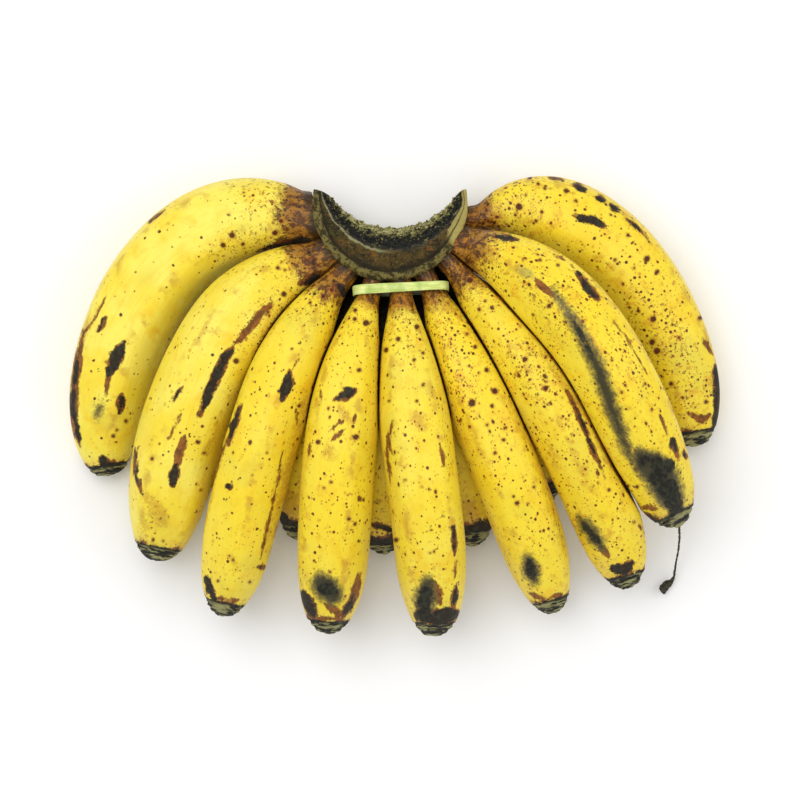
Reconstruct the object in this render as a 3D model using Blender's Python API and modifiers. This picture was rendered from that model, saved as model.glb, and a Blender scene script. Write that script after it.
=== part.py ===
"""A hand of short, plump bananas, cut from its stalk and lying on a flat surface.

Nine bananas lie fanned in the front row, on top of a back row of five. All grow from one
crescent crown, and a plant-fibre band ties three of the front necks. +X runs to the right
as seen from above with the crown away from the viewer, +Y toward the crown and +Z up.
Sizes are in millimetres, and MM turns them into metres.
"""

import math
from typing import NamedTuple

import bpy
import bmesh
import numpy as np

MM = 0.001

# Middle of the hand's outline from above, which the finished model has at its origin
HAND_MIDDLE = (0.4, 0.2)


class Finger(NamedTuple):
    """One banana: where it leaves the crown, three more points that steer its spine, its half
    thickness at the belly and at the neck, the share of its length that it swells over, and the
    share at which it starts to round off."""
    name: str
    root_angle: float
    root_height: float
    shoulder: tuple
    belly: tuple
    tip: tuple
    girth: float
    neck: float
    swell: float
    round_off: float


# Crown: a crescent round the stalk's axis, angles counted from -Y toward +X
CROWN_CENTRE = (-1.7, 88.2)
CROWN_WALL_RADIUS = 33.4
CROWN_END_ANGLE = 101.0
CROWN_STATIONS = 41
CROWN_TOP = 48.0
CROWN_TOP_DROP = 6.0
CROWN_BASE_RISE = 18.0
CUT_EDGE_CENTRE = (1.7, 10.8)
CUT_EDGE_RADIUS = 32.0
CUT_FOOT_CENTRE = (1.2, 27.5)
CUT_FOOT_RADIUS = 35.8
CUT_FOOT_HEIGHT = 12.0
LIP_WIDTH = 3.5
LIP_RAISE = 1.4
NECK_SWELL = 0.9
NECK_SWELL_SPREAD = 6.5

# Bananas: the spine starts on a circle round the crown, just off its wall
ROOT_RADIUS = 34.8
ROOT_TURN_LENGTH = 14.0
FRONT_ROW = (
    Finger("front_banana_1", -79, 30, (-100, 101, 24), (-136, 21, 24), (-128, -29, 6.6), 18.8, 12.0,
           0.34, 0.47),
    Finger("front_banana_2", -50, 37, (-85, 49, 42), (-95, -19, 46), (-105, -65.5, 17), 18.3, 8.6, 0.4, 0.56),
    Finger("front_banana_3", -33, 40, (-53, 24, 56), (-65, -45, 56), (-75, -89.5, 22), 16.4, 6.4, 0.42, 0.57),
    Finger("front_banana_4", -12, 42, (-26, 3, 64), (-25, -48, 67), (-29, -96.5, 22), 16.6, 4.8, 0.48, 0.64),
    Finger("front_banana_5", 7.5, 42, (6, -1, 66), (17.5, -47, 69), (17.5, -97.5, 22), 16.5, 5.2, 0.46, 0.64),
    Finger("front_banana_6", 26.5, 42, (35, 5, 54), (57, -42, 56), (70, -88.5, 18), 15.7, 4.9, 0.42, 0.60),
    Finger("front_banana_7", 45.5, 41, (62, 20, 58), (89, -30, 58), (102.8, -77.5, 18), 15.8, 5.2, 0.4, 0.62),
    Finger("front_banana_8", 60, 38, (86, 53, 76), (101.5, -6, 77), (123, -49, 30), 17.6, 8.8, 0.38, 0.52),
    Finger("front_banana_9", 79, 31, (90, 107, 23), (127.5, 36, 25), (134, -16, 6.4), 18.0, 5.6, 0.33, 0.56),
)
BACK_ROW = (
    Finger("back_banana_1", -40, 18, (-46, 38, 21), (-62, 3, 38), (-74, -42, 3.5), 14.5, 5.5, 0.50, 0.62),
    Finger("back_banana_2", -20, 18, (-24, 21, 25), (-36, -19, 45), (-42, -56, 3.2), 14.9, 5.5, 0.50, 0.62),
    Finger("back_banana_3", 0, 18, (-1, 16, 32), (-3, -23, 49), (-5, -62, 3.2), 14.9, 5.5, 0.50, 0.62),
    Finger("back_banana_4", 20, 18, (21, 21, 20), (29, -19, 42), (35, -59, 3.4), 14.9, 5.5, 0.50, 0.62),
    Finger("back_banana_5", 40, 18, (42, 38, 22), (55, 3, 42), (66, -42, 3.5), 14.5, 5.5, 0.50, 0.62),
)

# Banana section: five rounded ridges, deeper in the plane of the bend than across it
SIDES = 15
RIDGES = 5
RIDGE_HEIGHT = 0.06
SECTION_DEPTH = 1.05
SECTION_WIDTH = 0.95
# Thickness along the length: the neck swells to the belly, which rounds off to the blossom end
NECK_SHARE = 0.03
BLOSSOM_END_GIRTH = 0.36
STATIONS = (0.0, 0.03, 0.06, 0.10, 0.15, 0.20, 0.26, 0.33, 0.41, 0.49, 0.57, 0.65, 0.73, 0.80,
            0.86, 0.90, 0.935, 0.965, 0.985, 1.0)
CONTACT_GAP = 0.5
PRESS_ROUNDS = 6

# Tie band: a flat strap looped round the necks of front bananas 4, 5 and 6
BAND_CENTRE = (3.0, 51.0, 43.6)
BAND_LEAN = -5.0
BAND_TURN = 3.0
BAND_INNER_WIDTH = 40.2
BAND_INNER_HEIGHT = 14.2
BAND_CORNER_RADIUS = 5.5
BAND_CORNER_STEPS = 5
BAND_BREADTH = 4.2
BAND_THICKNESS = 0.9

# Dried flower thread on the tip of front banana 8: points and share of its thickness
THREAD_RADIUS = 0.6
THREAD = (
    ((125.6, -52.4, 28.8), 1.0), ((126.4, -57.5, 23.0), 0.9), ((126.7, -64.0, 15.0), 0.8),
    ((126.3, -70.0, 8.5), 0.8), ((125.9, -76.0, 4.2), 1.0), ((125.0, -78.8, 3.8), 1.8),
    ((122.9, -80.0, 3.6), 3.4), ((120.9, -82.0, 3.6), 3.6), ((121.6, -84.4, 3.6), 2.4),
)


def clear_scene():
    """Start from an empty scene."""
    for thing in list(bpy.data.objects):
        bpy.data.objects.remove(thing)


def make_material(name, colour, roughness):
    """A Principled material of one colour."""
    material = bpy.data.materials.new(name)
    material.use_nodes = True
    shader = material.node_tree.nodes["Principled BSDF"]
    shader.inputs["Base Color"].default_value = (*colour, 1.0)
    shader.inputs["Roughness"].default_value = roughness
    shader.inputs["Metallic"].default_value = 0.0
    return material


def unit(vectors):
    """Vectors of length one along the last axis."""
    return vectors / np.linalg.norm(vectors, axis=-1, keepdims=True)


def add_mesh_object(name, mesh, material, collection):
    """Put a mesh in the collection as a smooth object with one material."""
    mesh.materials.append(material)
    mesh.shade_smooth()
    mesh.set_sharp_from_angle(angle=math.radians(45))
    thing = bpy.data.objects.new(name, mesh)
    collection.objects.link(thing)
    return thing


def loft(name, rings):
    """A closed mesh through rings of equally many points, each end closed round a centre point."""
    form = bmesh.new()
    rows = [[form.verts.new(point * MM) for point in ring] for ring in rings]
    for low, high in zip(rows, rows[1:]):
        for i, corner in enumerate(low):
            j = (i + 1) % len(low)
            form.faces.new((corner, low[j], high[j], high[i]))
    for ring, row in ((rings[0], rows[0]), (rings[-1], rows[-1])):
        pole = form.verts.new(np.mean(ring, axis=0) * MM)
        for i, corner in enumerate(row):
            form.faces.new((corner, row[(i + 1) % len(row)], pole))
    bmesh.ops.recalc_face_normals(form, faces=form.faces)
    bmesh.ops.triangulate(form, faces=form.faces)
    mesh = bpy.data.meshes.new(name)
    form.to_mesh(mesh)
    form.free()
    return mesh


def outward(angle):
    """Level direction away from the stalk's axis at an angle in degrees."""
    turn = math.radians(angle)
    return np.array([math.sin(turn), -math.cos(turn), 0.0])


def root_point(finger):
    """Where a banana's spine starts, just off the crown's wall."""
    point = np.array([*CROWN_CENTRE, finger.root_height])
    return point + ROOT_RADIUS * outward(finger.root_angle)


def half_thickness(finger, share):
    """A banana's half thickness by share of its length, from neck to blossom end."""
    rise = np.clip((share - NECK_SHARE) / finger.swell, 0.0, 1.0) ** 1.3
    belly = finger.neck + (finger.girth - finger.neck) * (1.0 - (1.0 - rise) ** 3)
    fall = np.clip((share - finger.round_off) / (1.0 - finger.round_off), 0.0, 1.0)
    return belly * (BLOSSOM_END_GIRTH + (1.0 - BLOSSOM_END_GIRTH) * (1.0 - fall ** 3.4) ** 0.75)


class Spine:
    """A banana's centre line, with its directions and half thickness at each station."""

    def __init__(self, finger, stations):
        steer = np.array([root_point(finger), finger.shoulder, finger.belly, finger.tip], dtype=float)
        fine = self.curve(steer, np.linspace(0.0, 1.0, 400))
        run = np.concatenate([[0.0], np.cumsum(np.linalg.norm(np.diff(fine, axis=0), axis=1))])
        self.share = np.asarray(stations)
        self.length = run[-1]
        self.centre = np.stack([np.interp(self.share * run[-1], run, fine[:, k]) for k in range(3)], axis=1)
        tangent = unit(np.gradient(fine, axis=0))
        tangent = np.stack([np.interp(self.share * run[-1], run, tangent[:, k]) for k in range(3)], axis=1)
        at_root = np.clip(1.0 - self.share * self.length / ROOT_TURN_LENGTH, 0.0, 1.0)[:, None]
        self.tangent = unit(tangent * (1.0 - at_root) + outward(finger.root_angle) * at_root)
        chord = steer[3] - steer[0]
        bow = (steer[1] + steer[2]) / 2.0 - (steer[0] + steer[3]) / 2.0
        across = unit(np.cross(chord, bow))
        self.out = unit(np.cross(across, self.tangent))
        self.side = np.cross(self.tangent, self.out)
        self.half = half_thickness(finger, self.share)

    @staticmethod
    def curve(steer, steps):
        """A cubic Bezier curve through its four steering points."""
        t = steps[:, None]
        return ((1 - t) ** 3 * steer[0] + 3 * t * (1 - t) ** 2 * steer[1]
                + 3 * t ** 2 * (1 - t) * steer[2] + t ** 3 * steer[3])


def section(turn, share):
    """A banana section's radius by angle, as a share of its girth: round at neck and tip."""
    fullness = np.clip(np.minimum((share - 0.06) / 0.2, (0.97 - share) / 0.08), 0.0, 1.0)
    ridge = np.abs(np.cos(RIDGES / 2.0 * (turn - math.pi / RIDGES))) ** 3
    return 1.0 + RIDGE_HEIGHT * fullness * (ridge - 0.4)


def skin_distance(points, spine):
    """How far points lie outside a banana's undeformed skin, and the way out of it there."""
    reach = points[:, None, :] - spine.centre[None]
    nearest = np.argmin(np.linalg.norm(reach, axis=2) - spine.half, axis=1)
    arm = reach[np.arange(len(points)), nearest]
    turn = np.arctan2((arm * spine.side[nearest]).sum(axis=1), (arm * spine.out[nearest]).sum(axis=1))
    oval = np.hypot(SECTION_DEPTH * np.cos(turn), SECTION_WIDTH * np.sin(turn))
    radius = spine.half[nearest] * section(turn, spine.share[nearest]) * oval
    return np.linalg.norm(arm, axis=1) - radius, unit(arm)


def banana_rings(spine, neighbours):
    """A banana's rings of points, pressed flat where a neighbour lies against it."""
    turn = math.pi / RIDGES + np.arange(SIDES) * 2.0 * math.pi / SIDES
    radius = spine.half[:, None] * section(turn[None], spine.share[:, None])
    arm = (SECTION_DEPTH * np.cos(turn)[None, :, None] * spine.out[:, None]
           + SECTION_WIDTH * np.sin(turn)[None, :, None] * spine.side[:, None])
    arm = (radius[:, :, None] * arm).reshape(-1, 3)
    centre = np.repeat(spine.centre, SIDES, axis=0)
    way = unit(arm)
    reach = np.linalg.norm(arm, axis=1)
    sink = np.zeros(len(arm))
    for _ in range(PRESS_ROUNDS):
        for other in neighbours:
            points = centre + arm - way * sink[:, None]
            clear, apart = skin_distance(points, other)
            overlap = CONTACT_GAP - sink - clear
            ease = np.maximum(1.0 - (way * apart).sum(axis=1), 0.4)
            sink = np.minimum(sink + np.maximum(overlap, 0.0) / ease, 0.8 * reach)
    points = centre + arm - way * sink[:, None]
    points[:, 2] = np.maximum(points[:, 2], 0.0)
    return points.reshape(len(spine.share), SIDES, 3)


def add_bananas(material, collection):
    """Both rows, each banana pressed against those round it."""
    fingers = FRONT_ROW + BACK_ROW
    fine = np.linspace(0.0, 1.0, 90)
    skins = {finger.name: Spine(finger, fine) for finger in fingers}
    for finger in fingers:
        neighbours = [skin for name, skin in skins.items() if name != finger.name]
        rings = banana_rings(Spine(finger, STATIONS), neighbours)
        add_mesh_object(finger.name, loft(finger.name, rings), material, collection)


def reach_to_circle(angle, centre, radius):
    """Distance from the stalk's axis to a circle, along one direction."""
    way = outward(angle)[:2]
    along = float(np.dot(way, centre))
    return along + math.sqrt(along ** 2 + radius ** 2 - float(np.dot(centre, centre)))


def wall_radius(angle, height):
    """The crown's outer wall, swollen where each banana leaves it."""
    swell = 0.0
    for finger in FRONT_ROW + BACK_ROW:
        across = math.radians(angle - finger.root_angle) * CROWN_WALL_RADIUS
        rise = height - finger.root_height
        swell = max(swell, math.exp(-(across ** 2 + rise ** 2) / NECK_SWELL_SPREAD ** 2))
    return CROWN_WALL_RADIUS + NECK_SWELL * swell


def crown_section(angle):
    """The crown's outline at one angle, as pairs of distance from the axis and height."""
    out_of_middle = abs(angle) / CROWN_END_ANGLE
    top = CROWN_TOP - CROWN_TOP_DROP * out_of_middle ** 2
    base = CROWN_BASE_RISE * max(0.0, (out_of_middle - 0.45) / 0.55) ** 1.5
    rim = CROWN_WALL_RADIUS
    cut_edge = min(reach_to_circle(angle, CUT_EDGE_CENTRE, CUT_EDGE_RADIUS), rim - 1.6)
    cut_foot = min(reach_to_circle(angle, CUT_FOOT_CENTRE, CUT_FOOT_RADIUS), cut_edge - 1.2)
    foot = max(CUT_FOOT_HEIGHT, base + 4.0)
    thick = rim - cut_foot
    lip = min(LIP_WIDTH, 0.6 * (rim - cut_edge))
    outline = [(rim - 0.35 * thick, base), (rim - 0.12 * thick, base + 2.0)]
    for share in (0.12, 0.28, 0.44, 0.60, 0.76, 0.90):
        height = base + share * (top - base)
        outline.append((wall_radius(angle, height), height))
    outline += [(rim + 0.5, top), (rim + 0.2 - 0.3 * lip, top + LIP_RAISE * 0.8)]
    outline += [(rim - 0.8 * lip, top + LIP_RAISE * 0.6), (rim - lip, top - 0.2)]
    outline += [((rim - lip + cut_edge) / 2.0, top - 1.0), (cut_edge, top - 1.6)]
    for share in (0.25, 0.5, 0.75, 1.0):
        reach = cut_edge + share ** 0.8 * (cut_foot - cut_edge)
        outline.append((reach, top - 1.6 + share * (foot - top + 1.6)))
    outline += [(cut_foot + 0.1 * thick, 0.4 * foot + 0.6 * base), (cut_foot + 0.35 * thick, base)]
    return outline


def add_crown(material, collection):
    """The crescent of stalk that all bananas grow from."""
    rings = []
    for angle in np.linspace(-CROWN_END_ANGLE, CROWN_END_ANGLE, CROWN_STATIONS):
        way = outward(angle)
        centre = np.array([*CROWN_CENTRE, 0.0])
        rings.append([centre + way * reach + np.array([0.0, 0.0, height])
                      for reach, height in crown_section(angle)])
    add_mesh_object("crown", loft("crown", np.array(rings)), material, collection)


def band_outline():
    """The loop that the tie band follows, in X and Z: a rectangle with round corners."""
    inner_x = BAND_INNER_WIDTH / 2.0 - BAND_CORNER_RADIUS
    inner_z = BAND_INNER_HEIGHT / 2.0 - BAND_CORNER_RADIUS
    points = []
    for quarter, (x, z) in enumerate(((1, 1), (-1, 1), (-1, -1), (1, -1))):
        for step in range(BAND_CORNER_STEPS + 1):
            turn = math.pi / 2.0 * (quarter + step / BAND_CORNER_STEPS)
            points.append((x * inner_x + BAND_CORNER_RADIUS * math.cos(turn),
                           z * inner_z + BAND_CORNER_RADIUS * math.sin(turn)))
    return points


def add_tie_band(material, collection):
    """A flat strap: an open ribbon round the loop, thickened outward."""
    form = bmesh.new()
    edges = []
    for y in (-BAND_BREADTH / 2.0, BAND_BREADTH / 2.0):
        edges.append([form.verts.new((x * MM, y * MM, z * MM)) for x, z in band_outline()])
    near, far = edges
    for i, corner in enumerate(near):
        j = (i + 1) % len(near)
        form.faces.new((corner, near[j], far[j], far[i]))
    bmesh.ops.recalc_face_normals(form, faces=form.faces)
    mesh = bpy.data.meshes.new("tie_band")
    form.to_mesh(mesh)
    form.free()
    band = add_mesh_object("tie_band", mesh, material, collection)
    band.location = [value * MM for value in BAND_CENTRE]
    band.rotation_euler = (math.radians(BAND_LEAN), 0.0, math.radians(BAND_TURN))
    thickness = band.modifiers.new("thickness", "SOLIDIFY")
    thickness.thickness = BAND_THICKNESS * MM
    thickness.offset = 1.0


def add_flower_thread(material, collection):
    """The dried remains of the flower: a thin thread with a knob at its end."""
    curve = bpy.data.curves.new("dried_flower_thread", "CURVE")
    curve.dimensions = "3D"
    curve.bevel_depth = THREAD_RADIUS * MM
    curve.bevel_resolution = 2
    curve.use_fill_caps = True
    spline = curve.splines.new("POLY")
    spline.points.add(len(THREAD) - 1)
    for point, (place, share) in zip(spline.points, THREAD):
        point.co = (*(value * MM for value in place), 1.0)
        point.radius = share
    curve.materials.append(material)
    collection.objects.link(bpy.data.objects.new("dried_flower_thread", curve))


def centre_on_origin(collection):
    """Hang every piece on one empty that sets the hand's middle over the origin."""
    holder = bpy.data.objects.new("hand_origin", None)
    for thing in list(collection.objects):
        thing.parent = holder
    collection.objects.link(holder)
    holder.location = (-HAND_MIDDLE[0] * MM, -HAND_MIDDLE[1] * MM, 0.0)


def build():
    """Model the whole hand in one collection."""
    clear_scene()
    collection = bpy.data.collections.new("banana_hand")
    bpy.context.scene.collection.children.link(collection)
    add_bananas(make_material("banana_peel", (0.90, 0.62, 0.03), 0.45), collection)
    add_crown(make_material("crown_fibre", (0.12, 0.10, 0.03), 0.8), collection)
    add_tie_band(make_material("green_strap", (0.55, 0.70, 0.22), 0.5), collection)
    add_flower_thread(make_material("dried_flower", (0.03, 0.02, 0.015), 0.9), collection)
    centre_on_origin(collection)


build()
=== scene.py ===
"""Looks of a hand of short, plump, ripe bananas that lies on a pale surface.

Every piece is rebuilt finely over its plain solid: the bananas with their ridges, freckles and
bruises, the crown with its fibrous cut, the tie band and the dried flower thread. Lengths are
in millimetres, and MM turns them into metres. Marks are placed by where the photograph shows
them, in pixels of its 800 x 800 frame, and the camera below stands where that one stood.
"""
import math
from typing import NamedTuple

import bpy
import numpy as np
from mathutils import Matrix, Vector


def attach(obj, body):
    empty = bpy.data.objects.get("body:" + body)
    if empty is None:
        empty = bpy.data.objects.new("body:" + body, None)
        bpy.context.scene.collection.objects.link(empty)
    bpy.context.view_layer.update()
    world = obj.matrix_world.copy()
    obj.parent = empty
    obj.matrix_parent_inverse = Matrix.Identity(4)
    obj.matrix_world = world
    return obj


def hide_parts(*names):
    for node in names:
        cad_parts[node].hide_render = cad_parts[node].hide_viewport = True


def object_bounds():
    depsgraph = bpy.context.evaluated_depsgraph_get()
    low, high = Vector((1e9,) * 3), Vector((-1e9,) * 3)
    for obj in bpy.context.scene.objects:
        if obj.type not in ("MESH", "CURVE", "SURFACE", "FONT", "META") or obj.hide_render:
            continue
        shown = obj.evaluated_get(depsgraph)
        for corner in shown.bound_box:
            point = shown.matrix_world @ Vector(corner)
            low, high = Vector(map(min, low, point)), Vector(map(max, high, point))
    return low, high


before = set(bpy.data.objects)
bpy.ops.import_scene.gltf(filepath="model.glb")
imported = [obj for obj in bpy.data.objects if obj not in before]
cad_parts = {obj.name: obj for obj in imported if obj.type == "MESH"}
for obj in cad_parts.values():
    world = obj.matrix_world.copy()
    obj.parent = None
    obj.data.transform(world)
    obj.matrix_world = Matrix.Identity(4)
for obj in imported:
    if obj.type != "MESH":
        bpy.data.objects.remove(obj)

MM = 0.001
CAD_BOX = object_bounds()

# The camera looks straight down on this point of the construction, with +Y up in its picture
CAMERA_AIM = (2.64, 2.86)
CAMERA_HEIGHT = 1200.0
CAMERA_LENS = 119.66
SENSOR_WIDTH = 36.0
PHOTO_SIZE = 800.0
PIXEL_MM = 0.44

# The floor, in metres: half its width, and how far below the hand it lies
FLOOR_HALF = 3.0
FLOOR_BELOW = 0.0002
FLOOR_COLOUR = (0.94, 0.94, 0.94)

# Square lights, in metres and watts: name, place, width and power
LIGHTS = (("key", (-0.34, 0.30, 1.10), 1.0, 6.9), ("fill", (0.75, 0.10, 0.70), 0.7, 1.8))
LIGHTS_FACE = (0.0, 0.0, 0.03)
SKY_STRENGTH = 0.71


class Finger(NamedTuple):
    """One banana: where it leaves the crown, three more points that steer its spine, its half
    thickness at the belly and at the neck, the share of its length that it swells over, and the
    share at which it starts to round off."""
    name: str
    root_angle: float
    root_height: float
    shoulder: tuple
    belly: tuple
    tip: tuple
    girth: float
    neck: float
    swell: float
    round_off: float


# The construction's driving dimensions, as its solids have them
HAND_MIDDLE = (0.4, 0.2)
CROWN_CENTRE = (-1.7, 88.2)
CROWN_WALL_RADIUS = 33.4
CROWN_END_ANGLE = 101.0
CROWN_TOP = 48.0
CROWN_TOP_DROP = 6.0
CROWN_BASE_RISE = 18.0
CUT_EDGE_CENTRE = (1.7, 10.8)
CUT_EDGE_RADIUS = 32.0
CUT_FOOT_CENTRE = (1.2, 27.5)
CUT_FOOT_RADIUS = 35.8
CUT_FOOT_HEIGHT = 12.0
LIP_WIDTH = 3.5
LIP_RAISE = 1.4
NECK_SWELL = 0.9
NECK_SWELL_SPREAD = 6.5
ROOT_RADIUS = 34.8
ROOT_TURN_LENGTH = 14.0
FRONT_ROW = (
    Finger("front_banana_1", -79, 30, (-100, 101, 24), (-136, 21, 24), (-128, -29, 6.6), 18.8, 12.0,
           0.34, 0.47),
    Finger("front_banana_2", -50, 37, (-85, 49, 42), (-95, -19, 46), (-105, -65.5, 17), 18.3, 8.6, 0.4, 0.56),
    Finger("front_banana_3", -33, 40, (-53, 24, 56), (-65, -45, 56), (-75, -89.5, 22), 16.4, 6.4, 0.42, 0.57),
    Finger("front_banana_4", -12, 42, (-26, 3, 64), (-25, -48, 67), (-29, -96.5, 22), 16.6, 4.8, 0.48, 0.64),
    Finger("front_banana_5", 7.5, 42, (6, -1, 66), (17.5, -47, 69), (17.5, -97.5, 22), 16.5, 5.2, 0.46, 0.64),
    Finger("front_banana_6", 26.5, 42, (35, 5, 54), (57, -42, 56), (70, -88.5, 18), 15.7, 4.9, 0.42, 0.60),
    Finger("front_banana_7", 45.5, 41, (62, 20, 58), (89, -30, 58), (102.8, -77.5, 18), 15.8, 5.2, 0.4, 0.62),
    Finger("front_banana_8", 60, 38, (86, 53, 76), (101.5, -6, 77), (123, -49, 30), 17.6, 8.8, 0.38, 0.52),
    Finger("front_banana_9", 79, 31, (90, 107, 23), (127.5, 36, 25), (134, -16, 6.4), 18.0, 5.6, 0.33, 0.56),
)
BACK_ROW = (
    Finger("back_banana_1", -40, 18, (-46, 38, 21), (-62, 3, 38), (-74, -42, 3.5), 14.5, 5.5, 0.50, 0.62),
    Finger("back_banana_2", -20, 18, (-24, 21, 25), (-36, -19, 45), (-42, -56, 3.2), 14.9, 5.5, 0.50, 0.62),
    Finger("back_banana_3", 0, 18, (-1, 16, 32), (-3, -23, 49), (-5, -62, 3.2), 14.9, 5.5, 0.50, 0.62),
    Finger("back_banana_4", 20, 18, (21, 21, 20), (29, -19, 42), (35, -59, 3.4), 14.9, 5.5, 0.50, 0.62),
    Finger("back_banana_5", 40, 18, (42, 38, 22), (55, 3, 42), (66, -42, 3.5), 14.5, 5.5, 0.50, 0.62),
)
NECK_SHARE = 0.03
BLOSSOM_END_GIRTH = 0.36
RIDGES = 5
SECTION_DEPTH = 1.05
SECTION_WIDTH = 0.95

# What the fine skins add
RIDGE_HEIGHT = 0.06
SKIN_SIDES = 100
SKIN_STATIONS = 210
SKIN_INSET = 0.25
CONTACT_GAP = 0.3
NEIGHBOUR_GAP = 6.0
FAR_APART = 99.0
PRESS_ROUNDS = 5
WOBBLE = 0.012
LUMP_SIZE = 34.0
SMALL_LUMP_SIZE = 11.0
ROOT_SINK = 2.2
STUB_LONGEST = 15.0
STUB_BELOW = 4.5
# The blossom end's cap: how far back from the very end, and the share of the radius there
CAP_RINGS = ((0.35, 0.985), (0.1, 0.93), (0.0, 0.84), (0.25, 0.72), (0.7, 0.60), (0.8, 0.46),
             (0.55, 0.32), (0.35, 0.18), (0.3, 0.08))
# How long the cap counts in the peel's pattern, and how far that moves on for each degree of root
CAP_LENGTH = 6.0
PATTERN_SHIFT = 61.0

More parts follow.
